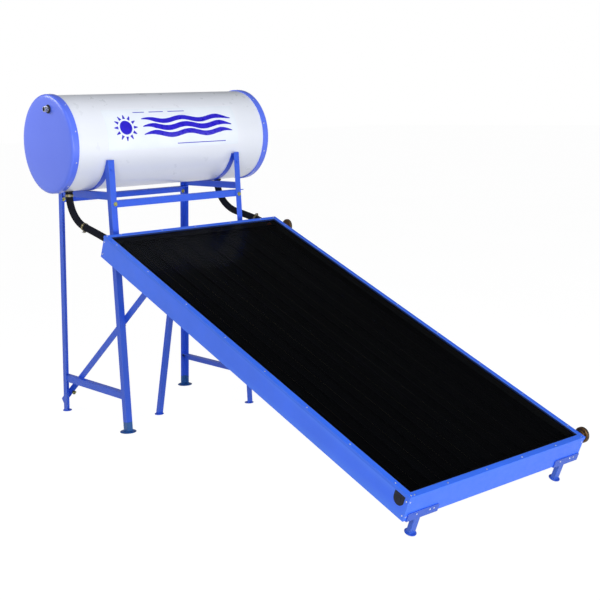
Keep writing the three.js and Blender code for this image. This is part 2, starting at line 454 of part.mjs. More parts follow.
// hot outlet
const hotTube = turned([[10, 0], [12.5, 0], [12.5, 58], [10, 58], [10, 0]], 20, V(TANK_X0 - 24, hotY, hotZ), X);
add(object, 'hot_outlet_nipple', hotTube, MATS.steel);
add(object, 'hot_outlet_grommet', turned([[12.8, 0], [18, 0], [20.5, 2], [20.5, 6], [15.6, 6], [15.6, 14], [12.8, 14], [12.8, 0]], 20, V(TANK_X0 - 5.6, hotY, hotZ), X), MATS.rubber);
// nipples under the tank, each ending in a hexagon over its hose
for (const [side, x] of [['left', NIPPLE_XL], ['right', NIPPLE_XR]]) {
  const z1 = HOSE_Z0 + GAP;
  const hexa = [];
  for (let i = 0; i < 6; i++) hexa.push([19.5 * Math.cos(i * Math.PI / 3), 19.5 * Math.sin(i * Math.PI / 3)]);
  const body = prism(hexa, 4, V(x, TANK_Y, z1), X, Y, Z).add(rod(13.5, TANK_Z - INNER_R - 1 - z1, V(x, TANK_Y, z1), Z, 20));
  add(object, 'tank_nipple_' + side, body.subtract(rod(10, 200, V(x, TANK_Y, z1 - 20), Z, 16)), MATS.brass);
}

// ---------------------------------------------------------------- hoses
// each drops from its nipple, bends forwards and runs into the collector's high end
class HoseCurve extends THREE.Curve {
  constructor(xa0, xb0) {
    super();
    this.xa = xa0; this.xb = xb0;
    this.arc = HOSE_BEND * (Math.PI / 2 - HOSE_END_ANGLE);
    const yArc = TANK_Y - HOSE_BEND * (1 - Math.cos(Math.PI / 2 - HOSE_END_ANGLE));
    this.tail = (yArc - HOSE_END_Y) / Math.cos(HOSE_END_ANGLE);
    this.len = HOSE_STRAIGHT + this.arc + this.tail;
  }
  getPoint(t, target = new THREE.Vector3()) {
    const s = t * this.len;
    let y, z;
    const zc = HOSE_Z0 - HOSE_STRAIGHT;
    if (s <= HOSE_STRAIGHT) { y = TANK_Y; z = HOSE_Z0 - s; } else {
      const th = Math.min((s - HOSE_STRAIGHT) / HOSE_BEND, Math.PI / 2 - HOSE_END_ANGLE);
      y = TANK_Y - HOSE_BEND * (1 - Math.cos(th));
      z = zc - HOSE_BEND * Math.sin(th);
      const r = s - HOSE_STRAIGHT - this.arc;
      if (r > 0) { y -= r * Math.cos(HOSE_END_ANGLE); z -= r * Math.sin(HOSE_END_ANGLE); }
    }
    const k = t * t * (3 - 2 * t);
    return target.set(this.xa + (this.xb - this.xa) * k, y, z);
  }
}
const circle = (r, n) => { const p = []; for (let i = 0; i < n; i++) p.push(new THREE.Vector2(r * Math.cos(2 * Math.PI * i / n), r * Math.sin(2 * Math.PI * i / n))); return new THREE.Shape(p); };
const hoseL = new HoseCurve(NIPPLE_XL, HOSE_XL_END), hoseR = new HoseCurve(NIPPLE_XR, HOSE_XR_END);
const HOSE_END_Z = hoseL.getPoint(1).z;
for (const [nm, c] of [['hose_left', hoseL], ['hose_right', hoseR]])
  add(object, nm, toSolid(new THREE.ExtrudeGeometry(circle(HOSE_R, 12), { steps: 14, extrudePath: c, bevelEnabled: false })), MATS.foam);

// worm-drive clamps: a band, a screw housing and its turning screw
function clampAt(name, curve, t, dir) {
  const p = curve.getPoint(t), d = curve.getTangent(t).normalize().multiplyScalar(dir);
  const side = new THREE.Vector3().crossVectors(d, Math.abs(d.x) < 0.9 ? X : Z).normalize();
  const out = side.clone();
  const tan = new THREE.Vector3().crossVectors(d, out).normalize();
  let band = turned([[HOSE_R + 0.9, -6], [HOSE_R + 2.1, -6], [HOSE_R + 2.1, 6], [HOSE_R + 0.9, 6], [HOSE_R + 0.9, -6]], 24, p, d);
  const c = p.clone().addScaledVector(out, HOSE_R + 6.8);
  const box = toSolid(new THREE.BoxGeometry(10, 10, 13), place(c, out, tan, d));
  band = band.add(box).subtract(rod(3.6, 40, c.clone().addScaledVector(tan, -20).addScaledVector(out, 0.6), tan, 16));
  // the housing must not reach into the hose
  add(object, name, band, MATS.zinc);
  const so = c.clone().addScaledVector(out, 0.6).addScaledVector(tan, -9);
  const screw = rod(3.2, 20, so, tan, 12).add(prism([[4.4, 0], [2.2, 3.81], [-2.2, 3.81], [-4.4, 0], [-2.2, -3.81], [2.2, -3.81]], 5, so.clone().addScaledVector(tan, 14.6), out, new THREE.Vector3().crossVectors(tan, out), tan));
  add(object, name + '_screw', screw, MATS.zinc);
  return { so, tan, c };
}
const clamps = {
  hose_clamp_left_top: clampAt('hose_clamp_left_top', hoseL, 0.0375, 1),
  hose_clamp_left_mid: clampAt('hose_clamp_left_mid', hoseL, 0.527, -1),
  hose_clamp_right: clampAt('hose_clamp_right', hoseR, 0.867, 1),
};
object.userData = { clamps, hoseEndZ: HOSE_END_Z, spigotLen };

export default object;
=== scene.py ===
import bpy, bmesh, math, json
from math import sin, cos, pi, radians, sqrt
from mathutils import Vector, Matrix, noise as mnoise

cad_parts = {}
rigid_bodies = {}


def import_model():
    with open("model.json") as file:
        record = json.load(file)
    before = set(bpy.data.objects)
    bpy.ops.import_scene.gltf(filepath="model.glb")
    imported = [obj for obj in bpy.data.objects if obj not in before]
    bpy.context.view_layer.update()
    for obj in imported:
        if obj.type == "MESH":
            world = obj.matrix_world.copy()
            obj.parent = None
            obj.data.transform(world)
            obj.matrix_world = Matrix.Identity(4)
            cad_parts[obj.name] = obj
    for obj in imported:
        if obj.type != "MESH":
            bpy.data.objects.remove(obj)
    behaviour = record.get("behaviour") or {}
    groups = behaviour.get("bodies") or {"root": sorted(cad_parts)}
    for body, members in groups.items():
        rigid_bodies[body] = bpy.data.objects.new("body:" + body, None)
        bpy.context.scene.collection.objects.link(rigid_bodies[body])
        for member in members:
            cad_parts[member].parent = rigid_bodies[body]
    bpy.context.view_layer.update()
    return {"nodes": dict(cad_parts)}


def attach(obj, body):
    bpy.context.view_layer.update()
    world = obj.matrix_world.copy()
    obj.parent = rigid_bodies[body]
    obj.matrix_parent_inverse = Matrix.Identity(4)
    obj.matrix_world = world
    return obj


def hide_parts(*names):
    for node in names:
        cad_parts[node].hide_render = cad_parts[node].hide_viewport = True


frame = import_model()
scene = bpy.context.scene
NODES = frame["nodes"]

# ------------------------------------------------------------------ frame of reference
OX, OY = 0.4655, 1.301
TILT = radians(22.17)
GLASS_Z, GLASS_W, GLASS_L = 0.1916, 0.980, 2.031
LAND, FBOT = 0.023, -0.105
GAP = 0.0003
V = Vector
X, Y, Z = V((1, 0, 0)), V((0, 1, 0)), V((0, 0, 1))
CU = V((0, cos(TILT), sin(TILT)))
CN = V((0, -sin(TILT), cos(TILT)))


def D(x, y, z):
    return V((x - OX, y - OY, z))


def C(x, u, n):
    return V((x - OX, -OY, GLASS_Z)) + CU * u + CN * n


# ------------------------------------------------------------------ camera
yaw, pitch, roll = radians(41.026), radians(9.606), radians(1.534)
fw = V((sin(yaw) * cos(pitch), cos(yaw) * cos(pitch), -sin(pitch)))
rt = V((cos(yaw), -sin(yaw), 0))
dn = fw.cross(rt)
r2 = rt * cos(roll) + dn * sin(roll)
d2 = rt * -sin(roll) + dn * cos(roll)
cam_data = bpy.data.cameras.new("Camera")
cam = bpy.data.objects.new("Camera", cam_data)
scene.collection.objects.link(cam)
m = Matrix.Identity(4)
for i in range(3):
    m[i][0], m[i][1], m[i][2] = r2[i], -d2[i], -fw[i]
m.translation = V((-2.8751 - OX, -2.7496 - OY, 1.5807))
cam.matrix_world = m
cam_data.sensor_width = 36.0
cam_data.lens = 70.47
cam_data.shift_x, cam_data.shift_y = -0.0027, -0.0089
cam_data.clip_start, cam_data.clip_end = 0.05, 200
scene.camera = cam


# ------------------------------------------------------------------ node materials
def lin(r, g, b):
    f = lambda c: (c / 255 / 12.92) if c <= 10 else ((c / 255 + 0.055) / 1.055) ** 2.4
    return (f(r), f(g), f(b), 1.0)


class Mat:
    def __init__(s, name, rough=0.4, metal=0.0, **kw):
        s.m = bpy.data.materials.new(name)
        s.m.use_nodes = True
        s.t = s.m.node_tree
        s.b = s.t.nodes["Principled BSDF"]
        s.b.inputs["Roughness"].default_value = rough
        s.b.inputs["Metallic"].default_value = metal
        for k, v in kw.items():
            s.b.inputs[k.replace("_", " ")].default_value = v
        s.tc = s.t.nodes.new("ShaderNodeTexCoord")

    def n(s, kind, **kw):
        o = s.t.nodes.new(kind)
        for k, v in kw.items():
            if k in o.inputs:
                o.inputs[k].default_value = v
            else:
                setattr(o, k, v)
        return o

    def l(s, a, b):
        s.t.links.new(a, b)

    def coord(s, scale=(1, 1, 1), rot=(0, 0, 0)):
        mp = s.n("ShaderNodeMapping")
        mp.inputs["Scale"].default_value = scale
        mp.inputs["Rotation"].default_value = rot
        s.l(s.tc.outputs["Object"], mp.inputs["Vector"])
        return mp.outputs[0]

    def noise(s, scale, detail=3.0, rough=0.5, vec=None, dist=0.0):
        o = s.n("ShaderNodeTexNoise")
        o.inputs["Scale"].default_value = scale
        o.inputs["Detail"].default_value = detail
        o.inputs["Roughness"].default_value = rough
        o.inputs["Distortion"].default_value = dist
        s.l(vec if vec is not None else s.tc.outputs["Object"], o.inputs["Vector"])
        return o.outputs["Fac"]

    def ramp(s, fac, stops):
        o = s.n("ShaderNodeValToRGB")
        e = o.color_ramp.elements
        while len(e) < len(stops):
            e.new(0.5)
        for i, (p, c) in enumerate(stops):
            e[i].position = p
            e[i].color = c if len(c) == 4 else (*c, 1)
        s.l(fac, o.inputs["Fac"])
        return o.outputs["Color"]

    def mix(s, fac, a, b, mode="MIX"):
        o = s.n("ShaderNodeMix", data_type="RGBA", blend_type=mode)
        if isinstance(fac, float):
            o.inputs[0].default_value = fac
        else:
            s.l(fac, o.inputs[0])
        for sock, v in ((o.inputs[6], a), (o.inputs[7], b)):
            if isinstance(v, tuple):
                sock.default_value = v
            else:
                s.l(v, sock)
        return o.outputs[2]

    def span(s, fac, lo, hi, a=0.3, b=0.7):
        o = s.n("ShaderNodeMapRange")
        o.inputs["From Min"].default_value = a
        o.inputs["From Max"].default_value = b
        o.inputs["To Min"].default_value = lo
        o.inputs["To Max"].default_value = hi
        s.l(fac, o.inputs["Value"])
        return o.outputs["Result"]

    def point(s, a, b):
        g = s.n("ShaderNodeNewGeometry")
        return s.span(g.outputs["Pointiness"], 0.0, 1.0, a, b)

    def math(s, op, a, b):
        o = s.n("ShaderNodeMath", operation=op)
        for i, v in enumerate((a, b)):
            if isinstance(v, (int, float)):
                o.inputs[i].default_value = v
            else:
                s.l(v, o.inputs[i])
        return o.outputs[0]

    def bump(s, height, strength, dist, prev=None):
        o = s.n("ShaderNodeBump")
        o.inputs["Strength"].default_value = strength
        o.inputs["Distance"].default_value = dist
        s.l(height, o.inputs["Height"])
        if prev is not None:
            s.l(prev, o.inputs["Normal"])
        s.l(o.outputs["Normal"], s.b.inputs["Normal"])
        return o.outputs["Normal"]

    def base(s, c):
        s.l(c, s.b.inputs["Base Color"])
        return s

    def rough(s, v):
        s.l(v, s.b.inputs["Roughness"])
        return s


def paint(name, col, dark=0.93, light=1.05, rough=0.36, peel=1500.0, coat=0.10, edge=0.35, metal=0.0):
    """Powder coat: faint colour drift, thinner lighter film on edges, painted shade darkening the concave corners,
    orange peel.
    """
    q = Mat(name, rough, metal, Coat_Weight=coat, Coat_Roughness=0.2, Specular_IOR_Level=0.26)
    c = lambda k: (min(col[0] * k, 1), min(col[1] * k, 1), min(col[2] * k, 1), 1)
    drift = q.ramp(q.noise(5.0, 5.0, 0.55), [(0.3, c(dark)), (0.7, c(light))])
    worn = q.mix(q.math("MULTIPLY", q.point(0.53, 0.62), edge), drift, (min(col[0] * 1.5 + 0.05, 1), min(col[1] * 1.5 + 0.06, 1), min(col[2] * 1.08 + 0.03, 1), 1))
    # painted shade: concave corners darkened to 55% of the paint colour
    corner_shade = q.math("MULTIPLY", q.point(0.49, 0.40), 0.25)
    speck = q.math("MULTIPLY", q.math("GREATER_THAN", q.noise(420.0, 2.0), 0.735), 0.35)
    q.base(q.mix(speck, q.mix(corner_shade, worn, c(0.55)), c(0.6)))
    q.rough(q.span(q.noise(38.0, 4.0, 0.6), rough - 0.06, rough + 0.09))
    n = q.bump(q.noise(peel, 2.0), 0.14, 0.0004)
    q.bump(q.noise(90.0, 2.0), 0.08, 0.0008, n)
    return q.m


M = {}
M["stand"] = paint("stand_powder_coat", (0.022, 0.098, 0.71))
M["end_foot"] = paint("end_foot_coat", (0.024, 0.086, 0.54))
M["shoe"] = paint("shoe_paint", (0.012, 0.085, 0.33), rough=0.4)
M["frame"] = paint("collector_frame_coat", (0.042, 0.158, 0.94), rough=0.38, peel=1900.0)
M["bead"] = paint("glazing_bead_coat", (0.026, 0.138, 0.86), rough=0.36, peel=1900.0)

q = Mat("end_cap_blue", 0.32, Coat_Weight=0.25, Coat_Roughness=0.14, Specular_IOR_Level=0.25)
cc = lambda r, g, b: lin(r, g, b)
cap_c = q.ramp(q.noise(2.2, 2.0), [(0.3, (0.098, 0.172, 0.86, 1)), (0.7, (0.112, 0.196, 0.90, 1))])
q.base(q.mix(q.math("MULTIPLY", q.point(0.55, 0.66), 0.25), cap_c, cc(140, 165, 246)))
q.rough(q.span(q.noise(26.0, 3.0), 0.29, 0.34))
q.bump(q.noise(5.0, 1.0), 0.03, 0.0010)
M["cap"] = q.m

q = Mat("tank_white_coat", 0.30, Coat_Weight=0.2, Coat_Roughness=0.12)
wh = q.ramp(q.noise(2.0, 2.0), [(0.3, cc(226, 231, 241)), (0.7, cc(231, 235, 245))])
q.base(q.mix(q.math("MULTIPLY", q.noise(9.0, 3.0, 0.5), 0.015), wh, cc(206, 211, 222)))
q.rough(q.span(q.noise(20.0, 3.0), 0.27, 0.32))
M["tank"] = q.m

q = Mat("label_film", 0.2, Coat_Weight=0.6, Coat_Roughness=0.06)
q.base(q.ramp(q.noise(9.0, 3.0), [(0.3, cc(230, 238, 249)), (0.7, cc(237, 244, 253))]))
q.bump(q.noise(26.0, 3.0), 0.06, 0.0008)
q.rough(q.span(q.noise(30.0, 3.0), 0.16, 0.26))
M["label"] = q.m
q = Mat("label_print", 0.3, Coat_Weight=0.4, Coat_Roughness=0.1)
q.base(q.ramp(q.noise(60.0, 4.0), [(0.3, cc(30, 14, 186)), (0.7, cc(40, 22, 208))]))
q.bump(q.noise(600.0, 2.0), 0.05, 0.0002)
q.rough(q.span(q.noise(50.0, 3.0), 0.24, 0.36))
M["print"] = q.m

# textured anti-glare solar glass over a black selective absorber
q = Mat("solar_glass", 0.05, IOR=1.5, Specular_IOR_Level=0.025, Alpha=0.26)
q.base(q.ramp(q.noise(3.0, 3.0), [(0.3, (0.0006, 0.0008, 0.0012, 1)), (0.7, (0.0012, 0.0015, 0.0022, 1))]))
q.rough(q.span(q.noise(8.0, 5.0, 0.6), 0.05, 0.13))
q.bump(q.noise(14.0, 1.0), 0.02, 0.0002)
M["glass"] = q.m
q = Mat("absorber_black", 0.42, Specular_IOR_Level=0.03)
streak = q.noise(1.0, 5.0, 0.6, q.coord((42.0, 0.55, 0.55)))
fine = q.noise(1.0, 3.0, 0.6, q.coord((230.0, 1.2, 1.2)))
sc = q.ramp(streak, [(0.34, (0.0006, 0.0007, 0.0010, 1)), (0.55, (0.0014, 0.0016, 0.0024, 1)), (0.74, (0.0044, 0.0050, 0.0070, 1))])
q.base(q.mix(q.math("MULTIPLY", fine, 0.35), sc, (0.0026, 0.0030, 0.0042, 1)))
q.rough(q.span(fine, 0.36, 0.56))
q.bump(fine, 0.04, 0.0002)
M["absorber"] = q.m
q = Mat("liner_black", 0.6, Specular_IOR_Level=0.2)
q.base(q.ramp(q.noise(40.0, 4.0), [(0.3, (0.0050, 0.0055, 0.0065, 1)), (0.7, (0.0095, 0.0100, 0.0115, 1))]))
q.bump(q.noise(300.0, 3.0), 0.25, 0.0006)
q.rough(q.span(q.noise(60.0), 0.5, 0.7))
M["liner"] = q.m

q = Mat("black_rubber", 0.62, Specular_IOR_Level=0.2)
q.base(q.ramp(q.noise(160.0, 4.0), [(0.3, (0.011, 0.012, 0.020, 1)), (0.7, (0.020, 0.021, 0.034, 1))]))
q.rough(q.span(q.noise(120.0), 0.52, 0.74))
q.bump(q.noise(1100.0, 3.0), 0.3, 0.0003)
M["rubber"] = q.m

q = Mat("foam_sleeve", 0.86, Specular_IOR_Level=0.07)
cell = q.n("ShaderNodeTexVoronoi")
cell.inputs["Scale"].default_value = 620.0
q.l(q.tc.outputs["Object"], cell.inputs["Vector"])
q.base(q.mix(q.span(cell.outputs["Distance"], 0.0, 1.0, 0.1, 0.6), q.ramp(q.noise(55.0, 4.0), [(0.3, (0.0028, 0.0032, 0.0062, 1)), (0.7, (0.0066, 0.0074, 0.0125, 1))]), (0.0088, 0.0098, 0.0155, 1)))
q.rough(q.span(q.noise(90.0, 3.0), 0.72, 0.94))
n0 = q.bump(cell.outputs["Distance"], 0.35, 0.0006)
q.bump(q.noise(48.0, 4.0), 0.35, 0.0018, n0)
M["foam"] = q.m


def metal(name, lo, hi, rough, scale=40.0, brush=None, tint=None):
    q = Mat(name, rough, 1.0)
    c = q.ramp(q.noise(scale, 5.0, 0.6), [(0.3, lo), (0.7, hi)])
    if tint:
        c = q.mix(q.span(q.noise(scale * 0.35, 3.0), 0.0, 0.6, 0.45, 0.65), c, tint)
    q.base(q.mix(q.math("MULTIPLY", q.point(0.49, 0.38), 0.5), c, (lo[0] * 0.3, lo[1] * 0.3, lo[2] * 0.3, 1)))
    q.rough(q.span(q.noise(scale * 2.2, 4.0), rough - 0.07, rough + 0.14))
    v = q.coord(brush) if brush else None
    q.bump(q.noise(700.0 if not brush else 1.0, 3.0, 0.5, v), 0.12, 0.0003)
    return q.m


M["brass"] = metal("brass_dull", lin(88, 68, 46), lin(132, 100, 62), 0.36, 60.0, tint=lin(70, 52, 36))
M["blank"] = paint("flange_blank_dark", (0.022, 0.030, 0.042), rough=0.34, edge=0.5)
M["copper"] = metal("copper_tube", lin(186, 96, 56), lin(214, 124, 78), 0.3, 50.0, tint=lin(120, 62, 44))
M["zinc"] = metal("zinc_yellow", lin(118, 111, 82), lin(146, 138, 104), 0.42, 160.0, tint=lin(96, 88, 68))
M["bolt"] = metal("bolt_yellow_zinc", lin(146, 146, 90), lin(174, 173, 112), 0.38, 160.0, tint=lin(118, 116, 76))
M["steel"] = metal("steel_bright", lin(176, 178, 182), lin(206, 208, 212), 0.26, 90.0)
M["alu"] = metal("rivet_aluminium", lin(186, 190, 198), lin(222, 226, 232), 0.3, 300.0)
q = Mat("galvanised_sheet", 0.4, 1.0)
vo = q.n("ShaderNodeTexVoronoi")
vo.inputs["Scale"].default_value = 55.0
q.l(q.tc.outputs["Object"], vo.inputs["Vector"])
q.base(q.mix(0.35, q.ramp(q.noise(9.0, 4.0), [(0.3, lin(160, 163, 168)), (0.7, lin(190, 193, 198))]), q.ramp(vo.outputs["Distance"], [(0.1, lin(140, 144, 150)), (0.7, lin(206, 208, 212))])))
q.rough(q.span(q.noise(70.0), 0.34, 0.52))
q.bump(vo.outputs["Distance"], 0.1, 0.0005)
M["galv"] = q.m
q = Mat("glass_wool", 0.95)
q.base(q.ramp(q.noise(120.0, 6.0, 0.7), [(0.3, lin(150, 128, 64)), (0.7, lin(206, 184, 112))]))
q.bump(q.noise(380.0, 5.0), 0.8, 0.002)
q.rough(q.span(q.noise(50.0), 0.85, 1.0))
M["wool"] = q.m
q = Mat("puf_foam", 0.9)
q.base(q.ramp(q.noise(90.0, 5.0), [(0.3, lin(202, 178, 116)), (0.7, lin(228, 206, 148))]))
q.bump(q.noise(500.0, 4.0), 0.6, 0.001)
q.rough(q.span(q.noise(50.0), 0.82, 0.96))
M["puf"] = q.m


# ------------------------------------------------------------------ mesh kit
def basis(axis):
    a = axis.normalized()
    h = Z if abs(a.z) < 0.9 else X
    ax = h.cross(a).normalized()
    return ax, a.cross(ax).normalized(), a


def fillet(pts, radii, seg=5):
    """Rounds the corners of a closed 2D polygon."""
    out, n = [], len(pts)
    for i, p in enumerate(pts):
        r = radii[i] if isinstance(radii, (list, tuple)) else radii
        a, b = V(pts[i - 1]) - V(p), V(pts[(i + 1) % n]) - V(p)
        if r <= 0 or a.length < 1e-9 or b.length < 1e-9:
            out.append(tuple(p))
            continue
        a2, b2 = a.normalized(), b.normalized()
        ang = a2.angle(b2)
        if abs(ang - pi) < 0.02:
            out.append(tuple(p))
            continue
        t = min(r / math.tan(ang / 2), a.length * 0.48, b.length * 0.48)
        rr = t * math.tan(ang / 2)
        c = V(p) + (a2 + b2).normalized() * (rr / sin(ang / 2))
        p0, p1 = V(p) + a2 * t - c, V(p) + b2 * t - c
        s = math.atan2(p0.y, p0.x)
        e = math.atan2(p1.y, p1.x)
        de = (e - s + pi) % (2 * pi) - pi
        for k in range(seg + 1):
            w = s + de * k / seg
            out.append((c.x + rr * cos(w), c.y + rr * sin(w)))
    return out


class B:
    def __init__(s):
        s.v, s.f, s.m = [], [], []

    def add(s, verts, faces, mi=0):
        k = len(s.v)
        s.v += [tuple(p) for p in verts]
        s.f += [tuple(i + k for i in f) for f in faces]
        s.m += [mi] * len(faces)
        return s

    def lathe(s, prof, o, axis, seg=48, mi=0, a0=0.0):
        ax, ay, az = basis(axis)
        vs, rings = [], []
        for r, h in prof:
            if abs(r) < 1e-9:
                rings.append([len(vs)])
                vs.append(o + az * h)
            else:
                rings.append(list(range(len(vs), len(vs) + seg)))
                for k in range(seg):
                    w = a0 + 2 * pi * k / seg
                    vs.append(o + az * h + (ax * cos(w) + ay * sin(w)) * r)
        fs = []
        pairs = list(zip(rings, rings[1:]))
        if len(rings[0]) > 1 and len(rings[-1]) > 1:
            pairs.append((rings[-1], rings[0]))
        for p, q_ in pairs:
            for k in range(seg):
                j = (k + 1) % seg
                if len(p) == 1 and len(q_) == 1:
                    continue
                if len(p) == 1:
                    fs.append((p[0], q_[j], q_[k]))
                elif len(q_) == 1:
                    fs.append((p[k], p[j], q_[0]))
                else:
                    fs.append((p[k], p[j], q_[j], q_[k]))
        return s.add(vs, fs, mi)

    def prism(s, pts, o, ax, ay, az, length, mi=0, steps=1):
        n = len(pts)
        vs = [o + ax * p[0] + ay * p[1] + az * (length * k / steps) for k in range(steps + 1) for p in pts]
        fs = [tuple(range(n))[::-1], tuple(range(n * steps, n * steps + n))]
        for k in range(steps):
            fs += [(k * n + i, k * n + (i + 1) % n, (k + 1) * n + (i + 1) % n, (k + 1) * n + i) for i in range(n)]
        return s.add(vs, fs, mi)

    def box(s, lo, hi, ax=X, ay=Y, az=Z, o=V((0, 0, 0)), mi=0):
        return s.prism([(lo[0], lo[1]), (hi[0], lo[1]), (hi[0], hi[1]), (lo[0], hi[1])], o + az * lo[2], ax, ay, az, hi[2] - lo[2], mi)

    def tube(s, path, rad, seg=16, mi=0, up=None, cap=True, flat=None):
        n = len(path)
        vs, prev = [], None
        for i, p in enumerate(path):
            d = (path[min(i + 1, n - 1)] - path[max(i - 1, 0)]).normalized()
            if prev is None:
                prev = basis(d)[0] if up is None else (up - d * up.dot(d)).normalized()
            ax = (prev - d * prev.dot(d)).normalized()
            ay = d.cross(ax)
            prev = ax
            for k in range(seg):
                w = 2 * pi * k / seg
                r = rad(i / (n - 1), w) if callable(rad) else rad
                vs.append(p + (ax * cos(w) + ay * sin(w)) * r)
        fs = [(i * seg + k, i * seg + (k + 1) % seg, (i + 1) * seg + (k + 1) % seg, (i + 1) * seg + k) for i in range(n - 1) for k in range(seg)]
        if cap:
            fs += [tuple(range(seg))[::-1], tuple(range((n - 1) * seg, n * seg))]
        return s.add(vs, fs, mi)

    def weld(s, a, b, r=0.0022, seed=0.0, mi=0):
        """A rippled fillet weld from a to b."""
        n = max(6, int((b - a).length / 0.0012))
        path = [a.lerp(b, i / n) for i in range(n + 1)]
        end = lambda t: min(1.0, sqrt(max(0.0, 1 - (1 - min(t, 1 - t) * n / 2.5) ** 2)) if min(t, 1 - t) * n < 2.5 else 1.0)
        return s.tube(path, lambda t, w: r * max(0.25, end(t)) * (1 + 0.10 * sin(t * n * 1.55 + seed) + 0.10 * mnoise.noise(V((t * n * 0.4, seed * 7.1, w)))), 10, mi)

    def dome(s, o, axis, r=0.003, h=0.0012, mi=0, seg=20, dimple=True):
        pr = [(r * 1.0, -0.0004), (r, h * 0.18), (r * 0.93, h * 0.45), (r * 0.76, h * 0.76), (r * 0.5, h * 0.96)]
        pr += [(r * 0.34, h * 1.0), (r * 0.28, h * 0.72), (0, h * 0.7)] if dimple else [(r * 0.25, h * 1.03), (0, h * 1.05)]
        return s.lathe([(0, -0.0004)] + pr, o, axis, seg, mi)

    def hexbolt(s, o, axis, af=0.013, h=0.0053, mi=0, washer=True, turn=0.2):
        ax, ay, az = basis(axis)
        if washer:
            s.lathe([(0, -0.0002), (af * 0.88, -0.0002), (af * 0.92, 0.0003), (af * 0.92, 0.0011), (af * 0.86, 0.0015), (0, 0.0015)], o, axis, 28, mi)
            o = o + az * 0.0014
        R = af / sqrt(3)
        rings = [(R, 0), (R, h * 0.78), (R * 0.86, h)]
        vs, fs = [], []
        for j, (r, z) in enumerate(rings):
            for k in range(24):
                w = 2 * pi * k / 24 + turn
                hexr = (af / 2) / cos(((2 * pi * k / 24) % (pi / 3)) - pi / 6)
                rr = min(hexr, af / 2 * 1.155) if j < 2 else min(hexr, af / 2 * 0.97)
                zz = z if j != 1 else h * 0.95 - (hexr - af / 2) * 0.9
                vs.append(o + az * zz + (ax * cos(w) + ay * sin(w)) * rr)
        for j in range(2):
            fs += [(j * 24 + k, j * 24 + (k + 1) % 24, (j + 1) * 24 + (k + 1) % 24, (j + 1) * 24 + k) for k in range(24)]
        fs += [tuple(range(24))[::-1], tuple(range(48, 72))]
        return s.add(vs, fs, mi)

    def nut(s, o, axis, af=0.013, h=0.0065, mi=0, tail=0.004):
        s.hexbolt(o, axis, af, h, mi, True, 0.5)
        az = axis.normalized()
        r = af * 0.29
        pr = [(0, h)]
        k = 0
        z = h - 0.0005
        while z < h + tail:
            pr += [(r, z), (r * 0.9, z + 0.0004)]
            z += 0.0008
        pr += [(r * 0.75, z), (0, z)]
        pr[0] = (0, h - 0.0006)
        return s.lathe(pr, o + az * 0.0014, axis, 20, mi)

    def mesh(s, name, mats, angle=32, wn=True, slot=None, rep=(), body="root", bevel=None, clean=True):
        me = bpy.data.meshes.new(name)
        me.from_pydata(s.v, [], s.f)
        for mt in mats:
            me.materials.append(mt)
        for p, mi in zip(me.polygons, s.m):
            p.material_index = mi
        bm = bmesh.new()
        bm.from_mesh(me)
        bmesh.ops.recalc_face_normals(bm, faces=bm.faces)
        bm.to_mesh(me)
        bm.free()
        o = bpy.data.objects.new(name, me)
        scene.collection.objects.link(o)
        finish_mesh(o, angle, wn, bevel)
        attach(o, body)
        if rep:
            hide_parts(*rep)
        return o


def finish_mesh(o, angle=32, wn=True, bevel=None):
    me = o.data
    for p in me.polygons:
        p.use_smooth = True
    me.set_sharp_from_angle(angle=radians(angle))
    if bevel:
        b = o.modifiers.new("bevel", "BEVEL")
        b.width, b.segments, b.limit_method, b.angle_limit = bevel, 2, "ANGLE", radians(38)
        b.harden_normals = True
        b.use_clamp_overlap = True
    if wn:
        w = o.modifiers.new("wn", "WEIGHTED_NORMAL")
        w.keep_sharp = True
        w.weight = 60


def cut_plane(bm, co, no):
    """Cuts away what lies on no's side and closes the cut."""
    r = bmesh.ops.bisect_plane(bm, geom=bm.verts[:] + bm.edges[:] + bm.faces[:], plane_co=co, plane_no=no, clear_outer=True, dist=1e-7)
    edges = [e for e in bm.edges if e.is_boundary]
    if edges:
        bmesh.ops.holes_fill(bm, edges=edges, sides=0)


def apply_bool(o, cutters, op="DIFFERENCE"):
    for cb in cutters:
        me = bpy.data.meshes.new("cutter")
        me.from_pydata(cb.v, [], cb.f)
        bm = bmesh.new()
        bm.from_mesh(me)
        bmesh.ops.recalc_face_normals(bm, faces=bm.faces)
        bm.to_mesh(me)
        bm.free()
        c = bpy.data.objects.new("cutter", me)
        scene.collection.objects.link(c)
        md = o.modifiers.new("cut", "BOOLEAN")
        md.operation, md.object, md.solver = op, c, "EXACT"
        dg = bpy.context.evaluated_depsgraph_get()
        new = bpy.data.meshes.new_from_object(o.evaluated_get(dg))
        o.modifiers.clear()
        old = o.data
        o.data = new
        bpy.data.meshes.remove(old)
        bpy.data.objects.remove(c)
        bpy.data.meshes.remove(me)


def angle_pts(wa, wb, t):
    return fillet([(0, 0), (wa, 0), (wa, t), (t, t), (t, wb), (0, wb)],
                  [0.0009, 0.0004, min(t * 0.55, 0.0022), 0.0036, min(t * 0.55, 0.0022), 0.0004], 5)


def bar(name, node, mat, wa, wb, t, length, o, ax, ay, az, planes=(), cuts=(), extra=None, bevel=0.0005):
    b = B().prism(angle_pts(wa, wb, t), o, ax, ay, az, length)
    if extra:
        extra(b)
    me = bpy.data.meshes.new(name)
    me.from_pydata(b.v, [], b.f)
    bm = bmesh.new()
    bm.from_mesh(me)
    bmesh.ops.recalc_face_normals(bm, faces=bm.faces)
    for co, no in planes:
        cut_plane(bm, co, no)
    bmesh.ops.recalc_face_normals(bm, faces=bm.faces)
    bm.to_mesh(me)
    bm.free()
    ob = bpy.data.objects.new(name, me)
    scene.collection.objects.link(ob)
    if cuts:
        apply_bool(ob, cuts)
    if not ob.data.materials:
        ob.data.materials.append(mat)
    ob.data.materials[0] = mat
    finish_mesh(ob, 32, True, bevel)
    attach(ob, "root")
    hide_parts(node)
    return ob


